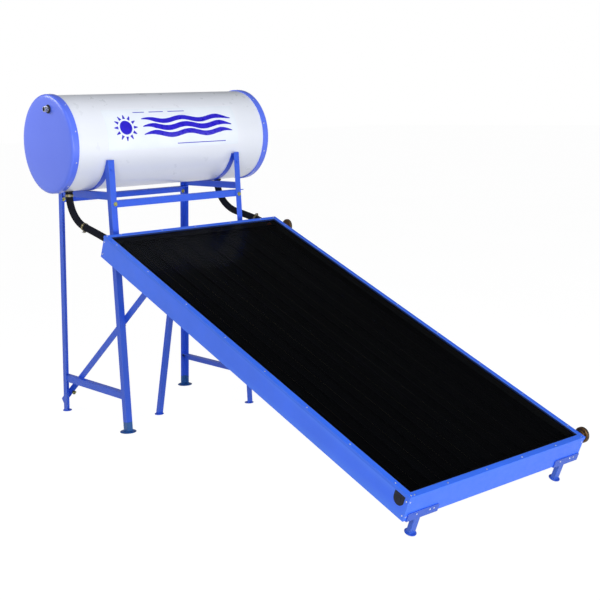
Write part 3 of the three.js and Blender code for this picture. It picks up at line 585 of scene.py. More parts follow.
def keep(node, mat, bevel=0.0006, clean=True):
    """A CAD node that stays: merged, planar faces joined, edges eased, own material."""
    o = NODES[node]
    o.data.materials.clear()
    o.data.materials.append(mat)
    w = o.modifiers.new("merge", "WELD")
    w.merge_threshold = 1e-5
    if clean:
        d = o.modifiers.new("planar", "DECIMATE")
        d.decimate_type, d.angle_limit = "DISSOLVE", radians(1.5)
    if bevel:
        b = o.modifiers.new("bevel", "BEVEL")
        b.width, b.segments, b.limit_method, b.angle_limit = bevel, 2, "ANGLE", radians(35)
        b.harden_normals = True
        w2 = o.modifiers.new("wn", "WEIGHTED_NORMAL")
        w2.weight = 60
    return o


# ------------------------------------------------------------------ hoses, first
HEADER_U_UP, HEADER_U_LOW, HEADER_N, HEADER_R = GLASS_L - 0.022, 0.023, -0.033, 0.014
TANK_Y, TANK_Z, TANK_R, TANK_X0, TANK_X1, CAP_R = 2.227, 1.387, 0.2275, -0.111, 1.061, 0.2335
HOSE_R, HOSE_Z0, HB, HA, HOSE_END_Y, LIFT = 0.0175, 1.154, 0.145, radians(15), 1.938, 0.007
HEADER_Y = HEADER_U_UP * cos(TILT) - HEADER_N * sin(TILT)
HEADER_Z = GLASS_Z + HEADER_U_UP * sin(TILT) + HEADER_N * cos(TILT)
SPIG_DY = -LIFT * sin(TILT)
TAIL = (TANK_Y - HB * (1 - sin(HA)) - HOSE_END_Y) / cos(HA)
STRAIGHT = HOSE_Z0 - HB * cos(HA) - TAIL * sin(HA) - (HEADER_Z + LIFT * cos(TILT) + (HOSE_END_Y - SPIG_DY - HEADER_Y) * math.tan(HA))
ARC = HB * (pi / 2 - HA)
HLEN = STRAIGHT + ARC + TAIL
NIP = {"left": -0.005, "right": 0.886}
HEND = {"left": 0.018, "right": 0.952}


def hose_pt(side, t):
    s = t * HLEN
    if s <= STRAIGHT:
        y, z = TANK_Y, HOSE_Z0 - s
    else:
        th = min((s - STRAIGHT) / HB, pi / 2 - HA)
        y = TANK_Y - HB * (1 - cos(th))
        z = HOSE_Z0 - STRAIGHT - HB * sin(th)
        r = s - STRAIGHT - ARC
        if r > 0:
            y -= r * cos(HA)
            z -= r * sin(HA)
    k = t * t * (3 - 2 * t)
    return D(NIP[side] + (HEND[side] - NIP[side]) * k, y, z)


CLAMPS = {"hose_clamp_left_top": ("left", 0.0375), "hose_clamp_left_mid": ("left", 0.527), "hose_clamp_right": ("right", 0.867)}
hoses, hose_len = {}, {}
for side in ("left", "right"):
    N = 120
    path = [hose_pt(side, i / N) for i in range(N + 1)]
    grips = [t for sd, t in CLAMPS.values() if sd == side]

    def rad(t, w, grips=grips, side=side):
        r = HOSE_R - 0.0001
        for g in grips:
            d = (t - g) * HLEN
            r -= 0.0009 * math.exp(-(d / 0.0062) ** 4) - 0.0003 * math.exp(-((abs(d) - 0.010) / 0.004) ** 2)
        r -= 0.0012 * math.exp(-(min(t, 1 - t) * HLEN / 0.0022) ** 2)
        r -= 0.0004 * max(0, cos(w * 1.0)) * (1 + cos(t * 190)) * 0.25
        r -= 0.0006 * math.exp(-((w - 2.6) / 0.09) ** 2)
        return r

    b = B().tube(path, rad, 40, up=Y)
    h = b.mesh("hose_" + side + "_sleeve", [M["foam"]], 40, True, "hose_foam", ("hose_" + side,))
    hoses[side] = h
    pts = [hose_pt(side, i / 36) for i in range(37)]
    hose_len[side] = sum((a - c).length for a, c in zip(pts, pts[1:]))

# worm-drive clamps: slotted band, housing, screw on its own body
clamp_pieces = {"left": [], "right": []}
for nm, (side, t) in CLAMPS.items():
    p = hose_pt(side, t)
    d = (hose_pt(side, t + 1e-4) - hose_pt(side, t - 1e-4)).normalized()
    if nm == "hose_clamp_left_mid":
        d = -d
    sd = d.cross(X).normalized()
    out = sd
    tan = d.cross(out).normalized()
    b = B()
    ri, ro, wd = HOSE_R + 0.0009, HOSE_R + 0.0021, 0.006
    b.lathe([(ri, -wd), (ri, wd), (ri + 0.0004, wd + 0.0), (ro - 0.0002, wd), (ro, wd - 0.0004), (ro, -wd + 0.0004), (ro - 0.0002, -wd), (ri + 0.0004, -wd)], p, d, 72)
    # raised worm teeth round the band
    for k in range(34):
        w = 2 * pi * k / 44 + 0.75
        c0, s0 = cos(w), sin(w)
        o = p + (out * c0 + tan * s0) * (ro - 0.0003)
        b.box((-0.0005, -0.0037, 0), (0.0005, 0.0037, 0.0006), (tan * c0 - out * s0), d, (out * c0 + tan * s0), o)
    c = p + out * (HOSE_R + 0.0068)
    # housing: rounded saddle with an open barrel for the screw
    hp = fillet([(-0.0050, -0.0046), (0.0022, -0.0046), (0.0046, -0.0024), (0.0046, 0.0024), (0.0022, 0.0046), (-0.0050, 0.0046)], 0.0012, 4)
    hous = B()
    sec = []
    for k in range(28):
        w = 2 * pi * k / 28
        sec.append((0.0006 + 0.0047 * cos(w), 0.0047 * sin(w)))
    body_pts = [(-0.0050, 0.0062), (-0.0050, -0.0062)] + [(0.0006 + 0.0047 * cos(w), 0.0062 * sin(w)) for w in [(-pi / 2 + pi * k / 16) for k in range(17)]]
    hous.prism(body_pts, c - tan * 0.005, out, d, tan, 0.010)
    # barrel bore is cut so that the screw shows in its housing
    ho = hous.mesh(nm + "_tmp", [M["zinc"]])
    scene.collection.objects.unlink(ho)
    scene.collection.objects.link(ho)
    cyl = B().lathe([(0, -0.02), (0.0037, -0.02), (0.0037, 0.02), (0, 0.02)], c + out * 0.0006, tan, 28)
    ho.modifiers.clear()
    ho.parent = None
    apply_bool(ho, [cyl])
    hv = [v.co.copy() for v in ho.data.vertices]
    hf = [tuple(pp.vertices) for pp in ho.data.polygons]
    b.add(hv, hf)
    bpy.data.objects.remove(ho)
    piece = b.mesh(nm + "_band", [M["zinc"]], 30, True, "zinc", (nm,), bevel=0.00025)
    # screw
    so = c + out * 0.0006 - tan * 0.009
    sb = B()
    pr = [(0, 0), (0.0024, 0), (0.0027, 0.0004)]
    z = 0.0006
    while z < 0.0135:
        pr += [(0.0031, z), (0.0031, z + 0.0005), (0.0025, z + 0.0008), (0.0025, z + 0.0011)]
        z += 0.0014
    pr += [(0.0022, 0.0138), (0.0022, 0.0146), (0, 0.0146)]
    sb.lathe(pr, so, tan, 28)
    sb.lathe([(0, 0.0140), (0.0044, 0.0140), (0.0046, 0.0144), (0.0046, 0.0150), (0.0040, 0.0153), (0, 0.0153)], so, tan, 28)
    sb.hexbolt(so + tan * 0.0150, tan, 0.0074, 0.0045, 0, False, 0.0)
    sc_o = sb.mesh(nm + "_worm", [M["steel"]], 30, True, "zinc", (nm + "_screw",), body=nm.replace("hose_clamp_", "clamp_") + "_screw", bevel=None)
    apply_slot = B().box((-0.0006, -0.004, 0.0182), (0.0006, 0.004, 0.0220), out, d, tan, so)
    sc_o.modifiers.clear()
    par = sc_o.parent
    apply_bool(sc_o, [apply_slot])
    finish_mesh(sc_o, 30, True, None)
    clamp_pieces[side] += [piece, sc_o]
for side in ("left", "right"):
    pts = [hose_pt(side, i / 36) for i in range(37)]

# ------------------------------------------------------------------ stand
XL_, XR_ = 0.076, 0.852
LW, LT = 0.032, 0.0035
FY0, FS, RY0, RS = 1.949, 0.0328, 2.5505, -0.069
LEG_TOP, FT, SHOE = 1.308, 0.005, 0.050
frontY = lambda z: FY0 + FS * z
rearY = lambda z: RY0 + RS * z
dF, dR = V((0, FS, 1)).normalized(), V((0, RS, 1)).normalized()
cF, cR = V((0, 1, -FS)).normalized(), V((0, -1, RS)).normalized()
nX, nY, nZ = -X, -Y, -Z


def tank_cut():
    return B().lathe([(0, -0.4), (TANK_R + 0.0047, -0.4), (TANK_R + 0.0047, 1.6), (0, 1.6)], D(0, TANK_Y, TANK_Z), X, 160)


def cutbox(x0, x1, y0, y1, z0, z1):
    return B().box((x0 - OX, y0 - OY, z0), (x1 - OX, y1 - OY, z1))


BFT, BRT, BW = 1.117, 1.119, 0.033
slot_box = cutbox(XR_ - 0.008, XR_ + 0.008, frontY(BFT) + LT - 0.0002, frontY(BFT) + LT + 0.0345, BFT - LT - 0.0005, BFT + 0.0005)
for name, x, ix, y0, d, cr, ft, ex in (
    ("leg_front_left", XL_, X, FY0, dF, cF, SHOE, []), ("leg_front_right", XR_, nX, FY0, dF, cF, FT, [slot_box]),
    ("leg_rear_left", XL_, X, RY0, dR, cR, FT, []), ("leg_rear_right", XR_, nX, RY0, dR, cR, SHOE, [])):
    bar(name + "_rolled", name, M["stand"], LW, LW, LT, 1.5, D(x, y0, 0) - d * 0.06, ix, cr, d,
        [(D(0, 0, ft + GAP), nZ), (D(0, 0, LEG_TOP), Z)], [tank_cut()] + ex)

# crossbars
bi = LT + 0.0035 + 2 * GAP
xa, xb = XL_ + bi + 0.001, XR_ - bi - 0.001
fY = frontY(BFT) + LT + GAP
bar("crossbar_front_rolled", "crossbar_front", M["stand"], BW, BW, LT, xb - xa, D(xa, fY, BFT), nZ, Y, X,
    extra=None)
lug = B().prism(fillet([(0, 0), (XR_ + 0.023 - xb - 0.0004, 0), (XR_ + 0.023 - xb - 0.0004, BW), (0, BW)], [0, 0.004, 0.004, 0], 5), D(xb + 0.0004, fY, BFT - LT), X, Y, Z, LT)
lug.mesh("crossbar_front_lug", [M["stand"]], 32, True, "stand_paint", bevel=0.0005)
rO = D(xa, rearY(BRT) - LT - GAP, BRT)
bar("crossbar_rear_rolled", "crossbar_rear", M["stand"], BW, BW, LT, xb - xa, rO, -dR, cR, X)

# tank ties and low ties
TW, TB, TT, TTOP = 0.035, 0.028, 0.0035, 1.1554
ty0, ty1 = frontY(TTOP) + LT + GAP + 0.0003, rearY(TTOP) - LT - GAP - 0.0003
for side, x, ix in (("left", XL_ + LT + GAP, X), ("right", XR_ - LT - GAP, nX)):
    xm0, xm1 = min(x, x + 0.04 * ix.x) - 0.006, max(x, x + 0.04 * ix.x) + 0.006
    bar("tank_tie_" + side + "_rolled", "tank_tie_" + side, M["stand"], TW, TB, TT, ty1 - ty0, D(x, ty0, TTOP), nZ, ix, Y, (),
        [cutbox(xm0, xm1, ty0 - 0.002, ty0 + 0.006, 1.0, BFT + GAP + 0.0002), cutbox(xm0, xm1, ty0 - 0.003, fY + BW + 0.0006, BFT - LT - 0.0006, BFT + 0.0006), tank_cut()])
for side, x, ix, top in (("left", XL_ + LT + GAP, X, 0.193), ("right", XR_ - LT - GAP, nX, 0.181)):
    ya, yb = frontY(top) + LT + GAP + 0.0002, rearY(top) - LT - GAP - 0.0002
    bar("low_tie_" + side + "_rolled", "low_tie_" + side, M["stand"], TW, TB, TT, yb - ya, D(x, ya, top), nZ, ix, Y)

# brace, prop, shelf angle
under = (C(0, 0, FBOT - GAP), CN)
BA = radians(38.66)
bd, bn = V((0, -cos(BA), sin(BA))), V((0, sin(BA), cos(BA)))
BX = XL_ + LW + 0.0006
bar("brace_left_rolled", "brace_left", M["stand"], 0.035, 0.032, 0.0035, 1.4, D(BX, 2.604, 0.0172) + bn * 0.035, -bn, X, bd, [under])
dP, cP = V((0, -0.258, 1)).normalized(), V((0, 1, 0.258)).normalized()
bar("prop_leg_rolled", "prop_leg", M["stand"], 0.025, 0.025, 0.003, 1.2, D(0.370, 2.112, 0) - dP * 0.02, X, cP, dP, [(D(0, 0, FT + GAP), nZ), under])
ry = frontY(0.812) - GAP - 0.0002
bar("collector_rest_bar_rolled", "collector_rest_bar", M["stand"], 0.048, 0.048, 0.004, XR_ - XL_, D(XL_, ry, 0.861), nZ, nY, X, [under],
    [cutbox(0.365, 0.401, ry - 0.060, ry - 0.008, 0.700, 0.900)])

# feet: domed pads, two with a short shoe, welded to their legs
for node, x, y, r, shoe, mat, slot, d, cr, ix, y0, lx in (
    ("foot_front_left", XL_ + 0.013, FY0 + 0.013, 0.0395, 1, "shoe", "shoe_paint", dF, cF, X, FY0, XL_),
    ("foot_front_right", XR_ - 0.013, FY0 + 0.013, 0.0235, 0, "stand", "stand_paint", dF, cF, nX, FY0, XR_),
    ("foot_rear_left", XL_ + 0.013, RY0 - 0.013, 0.0235, 0, "stand", "stand_paint", dR, cR, X, RY0, XL_),
    ("foot_rear_right", XR_ - 0.013, RY0 - 0.013, 0.0395, 1, "shoe", "shoe_paint", dR, cR, nX, RY0, XR_),
    ("foot_prop", 0.379, 2.121, 0.0235, 0, "stand", "stand_paint", dP, cP, X, 2.112, 0.370)):
    b = B()
    pr = fillet([(0.0, 0), (r - 0.0008, 0), (r, 0.0012), (r, FT - 0.0022), (r - 0.003, FT - 0.0008), (r - 0.007, FT), (0.0, FT)], [0, 0.0004, 0.0004, 0.001, 0.002, 0.003, 0], 4)
    b.lathe(pr, D(x, y, 0), Z, 72)
    w, t = (0.025, 0.003) if node == "foot_prop" else (LW, LT)
    base = D(lx, y0, 0) + d * (FT / d.z)
    if shoe:
        me0 = B().prism(angle_pts(w, w, t), D(lx, y0, 0) - d * 0.01, ix, cr, d, 0.12)
        me = bpy.data.meshes.new("t")
        me.from_pydata(me0.v, [], me0.f)
        bm = bmesh.new()
        bm.from_mesh(me)
        cut_plane(bm, D(0, 0, FT - 0.0006), nZ)
        cut_plane(bm, D(0, 0, SHOE), Z)
        b.add([v.co.copy() for v in bm.verts], [tuple(v.index for v in f.verts) for f in bm.faces])
        bm.free()
    wr = 0.0019
    b.weld(base + ix * 0.001 - cr * 0.0002, base + ix * (w - 0.001) - cr * 0.0002, wr, 1.0)
    b.weld(base + cr * 0.001 - ix * 0.0002, base + cr * (w - 0.001) - ix * 0.0002, wr, 2.0)
    b.weld(base + ix * (t + 0.001) + cr * (t + 0.0004), base + ix * (w - 0.002) + cr * (t + 0.0004), wr, 3.0)
    b.mesh(node + "_pad", [M[mat]], 35, True, slot, (node,))

# saddle straps
for side, x0 in (("left", XL_ + LT + GAP + 0.0002), ("right", XR_ - LT - GAP - 0.0002 - 0.027)):
    ae = math.asin((TANK_Z - 1.302) / (TANK_R + 0.002))
    a0, a1, n = pi + ae, 2 * pi - ae, 72
    r0, r1 = TANK_R + GAP + 0.0002, TANK_R + 0.0035
    b = B()
    sec = fillet([(0, r0), (0.027, r0), (0.027, r1), (0, r1)], 0.0007, 3)
    k = len(sec)
    vs = []
    for i in range(n + 1):
        w = a0 + (a1 - a0) * i / n
        for sx, sr in sec:
            vs.append(D(x0 + sx, TANK_Y + sr * cos(w), TANK_Z + sr * sin(w)))
    fs = [(i * k + j, i * k + (j + 1) % k, (i + 1) * k + (j + 1) % k, (i + 1) * k + j) for i in range(n) for j in range(k)]
    fs += [tuple(range(k))[::-1], tuple(range(n * k, n * k + k))]
    b.add(vs, fs)
    b.mesh("saddle_strap_" + side + "_rolled", [M["stand"]], 35, True, "stand_paint", ("saddle_strap_" + side,))

# fillet welds where the bars meet the legs
b = B()
for x, ix in ((XL_ + LT + GAP, X), (XR_ - LT - GAP, nX)):
    for top, drop in ((TTOP, 0.030), (0.193 if ix == X else 0.181, 0.033)):
        for fy, sgn in ((frontY(top) + LT, 1), (rearY(top) - LT, -1)):
            # along the leg's inner face down the tie's web
            b.weld(D(x + ix.x * 0.0038, fy + sgn * 0.0006, top - 0.005), D(x + ix.x * 0.0038, fy + sgn * 0.0006, top - drop), 0.0019, x * 9 + top)
            b.weld(D(x + ix.x * 0.004, fy + sgn * 0.0006, top + 0.0002), D(x + ix.x * 0.026, fy + sgn * 0.0006, top + 0.0002), 0.0018, x * 5 + top)
    # lower leg line of the crossbars
    b.weld(D(x + ix.x * 0.008, fY - 0.0002, BFT - BW + 0.001), D(x + ix.x * 0.026, fY - 0.0002, BFT - BW + 0.001), 0.0018, x)
for sx, yl, dd, cc_ in ((XL_, FY0, dF, cF), (XR_, RY0, dR, cR)):
    o = D(sx, yl, 0) + dd * (SHOE / dd.z)
    ix = X if sx == XL_ else nX
    b.weld(o + ix * 0.002 - cc_ * 0.0001, o + ix * 0.030 - cc_ * 0.0001, 0.0014, 4.0)
    b.weld(o + cc_ * 0.002 - ix * 0.0001, o + cc_ * 0.030 - ix * 0.0001, 0.0014, 5.0)
b.mesh("stand_welds", [M["stand"]], 60, False, "stand_paint")

# ------------------------------------------------------------------ fasteners of the stand
b = B()
oF = lambda x, z: D(x, frontY(z) - 0.0001, z)
nrmF = V((0, -1, FS)).normalized()
nrmR = V((0, 1, -RS)).normalized()
for x, z in ((0.0995, 1.1010), (0.8395, 1.0950)):
    b.hexbolt(oF(x, z), nrmF, 0.0115, 0.0048)
    b.nut(D(x, fY + LT, z), Y, 0.0125, 0.0058)
for x, z in ((0.1010, 1.1020), (0.8330, 1.0900)):
    b.hexbolt(D(x, rearY(z) - 2 * LT - GAP, z), -nrmR, 0.0115, 0.0048)
    b.nut(D(x, rearY(z), z), nrmR, 0.0125, 0.0058)
b.hexbolt(D(XL_, rearY(1.138) - 0.016, 1.138), nX, 0.0095, 0.004)
b.nut(D(XL_ + 2 * LT + GAP, rearY(1.138) - 0.016, 1.138), X, 0.0095, 0.005)
b.hexbolt(D(XR_, frontY(1.138) + 0.016, 1.138), X, 0.0095, 0.004)
b.hexbolt(D(BX, 2.4915, 0.0905) + bn * 0.010, nX, 0.0115, 0.0048)
b.nut(D(BX + 0.0035, 2.4915, 0.0905) + bn * 0.010, X, 0.0125, 0.0058)
b.hexbolt(D(BX, 1.9780, 0.5020) + bn * 0.018, nX, 0.0115, 0.0048)
b.nut(D(BX + 0.0035, 1.9780, 0.5020) + bn * 0.018, X, 0.0125, 0.0058)
b.hexbolt(oF(0.100, 0.836), nrmF, 0.0115, 0.0048)
b.hexbolt(oF(0.828, 0.836), nrmF, 0.0115, 0.0048)
b.mesh("stand_bolts", [M["bolt"]], 30, True, "zinc")
b = B()
for x in (0.0915, 0.8365):
    b.hexbolt(oF(x, 1.2610), nrmF, 0.0115, 0.0048)
b.mesh("strap_bolts", [M["stand"]], 30, True, "stand_paint")

# ------------------------------------------------------------------ collector
for n_ in ("frame_side_left", "frame_side_right", "frame_end_lower", "frame_end_upper"):
    keep(n_, M["frame"], 0.0007)
for n_ in ("glazing_bead_left", "glazing_bead_right", "glazing_bead_lower", "glazing_bead_upper"):
    keep(n_, M["bead"], 0.0005)
for n_ in ("end_bracket_left", "end_bracket_right"):
    keep(n_, M["end_foot"], 0.0007)
keep("cover_glass", M["glass"], 0.0004)
keep("insulation_slab", M["wool"], 0.003)
keep("back_sheet", M["galv"], 0.0003)
keep("tank_insulation", M["puf"], 0.0)
keep("inner_tank", M["steel"], 0.0)
keep("cold_spigot", M["copper"], 0.0)

# absorber: nine bonded fins, each rolled over its riser
AX0, AX1, PN, PT, RR = -LAND + 0.022, GLASS_W + LAND - 0.022, -0.034, 0.0010, 0.00635
pitch = (AX1 - AX0) / 9
A0, A1 = HEADER_U_LOW + HEADER_R + GAP, HEADER_U_UP - HEADER_R - GAP
b = B()
for i in range(9):
    c0 = AX0 + pitch * (i + 0.5)
    xl, xr = c0 - pitch / 2 + 0.0008, c0 + pitch / 2 - 0.0008
    arc = [(c0 + (RR + 0.0012) * 1.0, PN + 0.0002)]
    top = []
    for k in range(17):
        w = pi * k / 16
        top.append((c0 + RR * cos(w), PN + 0.0006 + RR * sin(w)))
    pts = [(xl, PN - PT), (xr, PN - PT), (xr, PN), (c0 + RR + 0.003, PN), (c0 + RR + 0.0008, PN + 0.0003)] + top[0:] + [(c0 - RR - 0.0008, PN + 0.0003), (c0 - RR - 0.003, PN), (xl, PN)]
    b.prism(pts, C(0, A1, 0), X, CN, -CU, A1 - A0)
b.mesh("absorber_plates", [M["absorber"]], 40, True, "absorber", ("absorber_fins",))

# headers, with the stubs and spigots that show outside the casing in bare copper
HX0 = -LAND + 0.0022 + 0.001
for nm, u in (("upper", HEADER_U_UP), ("lower", HEADER_U_LOW)):
    b = B()
    r = HEADER_R
    L1 = 1.058 - HX0
    xi = 1.003 - 0.004 - HX0
    b.lathe([(0, 0), (r - 0.003, 0), (r - 0.0008, 0.0010), (r, 0.003), (r, xi)] + [(r - 0.0015, xi), (r - 0.0015, 0.004), (0, 0.003)], C(HX0, u, HEADER_N), X, 48, 1)
    b.lathe([(r, 0), (r, L1 - xi - 0.0005), (r - 0.0004, L1 - xi), (r - 0.0012, L1 - xi), (r - 0.0015, L1 - xi - 0.0004), (r - 0.0015, 0)], C(HX0 + xi + 0.00005, u, HEADER_N), X, 48, 0)
    # soldered collars where each riser enters
    for i in range(9):
        c0 = AX0 + pitch * (i + 0.5)
        s = -1 if nm == "upper" else 1
        b.lathe([(0, 0.010), (0.0082, 0.0105), (0.0080, HEADER_R + 0.001), (0.0072, HEADER_R + 0.0024), (0.0064, HEADER_R + 0.0031), (0, HEADER_R + 0.0031)], C(c0, u, HEADER_N), CU * s * -1 if nm == "lower" and False else CU * s, 20, 1)
    if nm == "upper":
        ea = HA - TILT
        Ed = (CU * cos(ea) + CN * sin(ea)).normalized()
        so = C(HEND["left"], HEADER_U_UP, HEADER_N + LIFT)
        sl = (HOSE_END_Y - (HEADER_Y + SPIG_DY)) / cos(HA) - GAP
        b.lathe([(0.0110, 0.006), (0.0135, 0.006), (0.0135, sl - 0.001), (0.0131, sl), (0.0114, sl), (0.0110, sl - 0.0008)], so, Ed, 40, 0)
        b.lathe([(0.0135, 0.040), (0.0152, 0.0405), (0.0155, 0.042), (0.0152, 0.0436), (0.0135, 0.0441)], so, Ed, 40, 0)
    else:
        b.lathe([(0, 0), (0.010, 0), (0.010, HEADER_U_UP - HEADER_U_LOW + 0.010), (0, HEADER_U_UP - HEADER_U_LOW + 0.010)], C(HEND["right"], HEADER_U_LOW - 0.010, -0.062), CU, 28, 1)
        b.lathe([(0, 0), (0.010, 0), (0.010, 0.029), (0, 0.029)], C(HEND["right"], HEADER_U_LOW, -0.062), CN, 28, 1)
    b.mesh("header_" + nm + "_tube", [M["copper"], M["absorber"]], 35, True, "copper", ("header_" + nm,))

# brass unions on the right-hand stubs
for nm, u in (("upper", HEADER_U_UP), ("lower", HEADER_U_LOW)):
    b = B()
    o = C(1.042, u, HEADER_N)
    pr = fillet([(HEADER_R + GAP, 0), (HEADER_R + 0.0035, 0), (0.0200, 0.0075), (0.0290, 0.0105), (0.0330, 0.0137), (0.0330, 0.0240), (0.0155, 0.0240), (0.0125, 0.0222), (HEADER_R - 0.003, 0.0222), (HEADER_R - 0.003, 0.0166), (HEADER_R + GAP, 0.0166)],
                [0.0005, 0.0008, 0.002, 0.002, 0.0010, 0.0008, 0.0006, 0.0004, 0.0003, 0.0003, 0.0003], 4)
    b.lathe(pr, o, X, 96)
    # knurled rim
    for k in range(60):
        w = 2 * pi * k / 60
        ax, ay, az = basis(X)
        rd = ax * cos(w) + ay * sin(w)
        b.box((-0.0007, 0.0150, -0.0004), (0.0007, 0.0226, 0.00035), rd.cross(X).normalized(), X, rd, o + rd * 0.0330)
    b.lathe(fillet([(0.0128, 0.0212), (0.0326, 0.0212), (0.0326, 0.0240), (0.0128, 0.0240)], 0.0005, 3), o, X, 96, 1)
    b.lathe(fillet([(0.0320, 0.0165), (0.0333, 0.0165), (0.0333, 0.0239), (0.0320, 0.0239)], 0.0004, 3), o, X, 96, 1)
    b.mesh("header_flange_" + nm + "_union", [M["brass"], M["blank"]], 30, True, "brass", ("header_flange_" + nm,))
b = B()
for u in (HEADER_U_UP, HEADER_U_LOW):
    b.lathe([(HEADER_R + 0.0002, 0), (HEADER_R + 0.0030, 0.0), (HEADER_R + 0.0036, 0.0012), (HEADER_R + 0.0034, 0.0024), (HEADER_R + 0.0002, 0.0034)], C(1.0032, u, HEADER_N), X, 48)
b.mesh("port_grommets", [M["rubber"]], 35, True, "rubber")

# black port plug, a U-shaped moulding with a shallow dished face
PR, PNN = 0.0257, -0.035
b = B()
def u_pts(r, top):
    return [(r * cos(pi + pi * k / 24), r * sin(pi + pi * k / 24)) for k in range(25)] + [(r, top - PNN), (-r, top - PNN)]
b.prism(fillet(u_pts(PR, -0.0122), 0.0015, 3), C(-LAND - 0.0012, HEADER_U_LOW, PNN), CU, CN, X, 0.004)
b.prism(fillet(u_pts(PR - 0.003, -0.0154), 0.0015, 3), C(-LAND - 0.0018, HEADER_U_LOW, PNN), CU, CN, X, 0.0007)
b.lathe([(0, 0), (0.0095, 0), (0.0105, 0.0006), (0.0105, 0.0014), (0.0085, 0.0016), (0.0078, 0.0009), (0, 0.0008)], C(-LAND - 0.0016, HEADER_U_LOW, PNN), -X, 40)
b.mesh("header_plug_left_cap", [M["rubber"]], 32, True, "rubber", ("header_plug_left",), bevel=0.0003)

# rubber glazing gasket round the glass and the dark lining of the casing
b = B()
g0, g1, gn0, gn1 = -0.0006, 0.0030, 0.0007, 0.0022
gs = fillet([(0, gn0), (0.0036, gn0), (0.0036, gn1 - 0.0003), (0, gn1 + 0.0006)], [0.0002, 0.0005, 0.0008, 0.0003], 3)
b.prism(gs, C(-0.0006, -0.0006, 0), X, CN, CU, GLASS_L + 0.0012)
b.prism(gs, C(GLASS_W + 0.0006, -0.0006, 0), -X, CN, CU, GLASS_L + 0.0012)
b.prism(gs, C(0.0030, -0.0006, 0), CU, CN, X, GLASS_W - 0.006)
b.prism(gs, C(0.0030, GLASS_L + 0.0006, 0), -CU, CN, X, GLASS_W - 0.006)
b.mesh("glazing_gasket", [M["rubber"]], 40, True, "rubber")
b = B()
ll, lt = -LAND + 0.0192, 0.0030
b.box((ll, -LAND + 0.020, -0.0700), (ll + lt, GLASS_L + LAND - 0.020, -0.0066), X, CU, CN, C(0, 0, 0))
b.box((GLASS_W + LAND - 0.0192 - lt, -LAND + 0.020, -0.0700), (GLASS_W + LAND - 0.0192, GLASS_L + LAND - 0.020, -0.0066), X, CU, CN, C(0, 0, 0))
b.box((-LAND + 0.0230, ll, -0.0700), (GLASS_W + LAND - 0.0230, ll + lt, -0.0066), X, CU, CN, C(0, 0, 0))
b.box((-LAND + 0.0230, GLASS_L + LAND - 0.0192 - lt, -0.0700), (GLASS_W + LAND - 0.0230, GLASS_L + LAND - 0.0192, -0.0066), X, CU, CN, C(0, 0, 0))
b.mesh("casing_lining", [M["liner"]], 40, True, "mineral_wool", bevel=0.0004)

# pop rivets
b = B()
NB = 0.0030
for u in (1.957, 1.693, 1.391, 1.105, 0.835, 0.567, 0.313, 0.063):
    b.dome(C(-0.0150, u, NB), CN, 0.0034, 0.0014)
    b.dome(C(GLASS_W + 0.0150, u, NB), CN, 0.0034, 0.0014)
for x in (0.181, 0.398, 0.606, 0.817):
    b.dome(C(x, -0.0150, NB), CN, 0.0034, 0.0014)
for x in (0.064, 0.294, 0.489, 0.706, 0.900):
    b.dome(C(x, GLASS_L + 0.0150, NB), CN, 0.0034, 0.0014)
for x, u in ((-0.012, -0.0150), (0.004, -0.0165), (GLASS_W + 0.006, -0.0150), (-0.012, GLASS_L + 0.0145), (GLASS_W + 0.006, GLASS_L + 0.0145)):
    b.dome(C(x, u, NB), CN, 0.0034, 0.0014)
# casing corners and the end brackets
UL = -LAND
for x, n_ in ((-0.014, -0.022), (-0.014, -0.088), (GLASS_W + 0.014, -0.022), (GLASS_W + 0.014, -0.088)):
    b.dome(C(x, UL, n_), -CU, 0.0032, 0.0013)
    b.dome(C(x, GLASS_L + LAND, n_), CU, 0.0032, 0.0013)
for u in (-0.012, GLASS_L + 0.012):
    for n_ in (-0.024, -0.086):
        b.dome(C(-LAND, u, n_), -X, 0.0032, 0.0013)
        b.dome(C(GLASS_W + LAND, u, n_), X, 0.0032, 0.0013)
for x in (0.040, 0.108, 0.130, 0.880, 0.943, 0.966):
    b.dome(C(x, UL - 0.0043, -0.0865), -CU, 0.0034, 0.0014)
b.mesh("pop_rivets", [M["alu"]], 40, True)

# low-end feet: a square stub with a welded, levelled pad
for side, xc in (("left", 0.068), ("right", 0.921)):
    PU, pr_, pt = -0.006, 0.0235, 0.004
    padN = -(GLASS_Z + PU * sin(TILT) - (pr_ - 0.0008) * sin(TILT)) / cos(TILT)
    top = FBOT - GAP - 0.004 - GAP
    b = B()
    b.prism(fillet([(xc - 0.016, PU - 0.010), (xc + 0.016, PU - 0.010), (xc + 0.016, PU + 0.010), (xc - 0.016, PU + 0.010)], 0.0022, 4), C(0, 0, padN + pt - 0.0005), X, CU, CN, top - (padN + pt - 0.0005))
    b.lathe(fillet([(0, 0), (pr_ - 0.0008, 0), (pr_, 0.001), (pr_, pt - 0.001), (pr_ - 0.0012, pt), (0, pt)], [0, 0.0004, 0.0004, 0.0008, 0.0008, 0], 3), C(xc, PU, padN), CN, 64)
    zz = padN + pt
    for (xa_, ua_), (xb_, ub_) in (((-0.016, -0.0102), (0.016, -0.0102)), ((-0.016, 0.0102), (0.016, 0.0102)), ((-0.0162, -0.010), (-0.0162, 0.010)), ((0.0162, -0.010), (0.0162, 0.010))):
        b.weld(C(xc + xa_, PU + ua_, zz), C(xc + xb_, PU + ub_, zz), 0.0018, xa_ * 50)
        b.weld(C(xc + xa_, PU + ua_, top - 0.0004), C(xc + xb_, PU + ub_, top - 0.0004), 0.0015, xa_ * 70)
    b.mesh("end_foot_" + side + "_welded", [M["end_foot"]], 35, True, "stand_paint", ("end_foot_" + side,))

# ------------------------------------------------------------------ tank
def TC(x, r, w):
    """Point on a cylinder about the tank axis; w is the angle above the front."""
    return D(x, TANK_Y - r * cos(w), TANK_Z + r * sin(w))


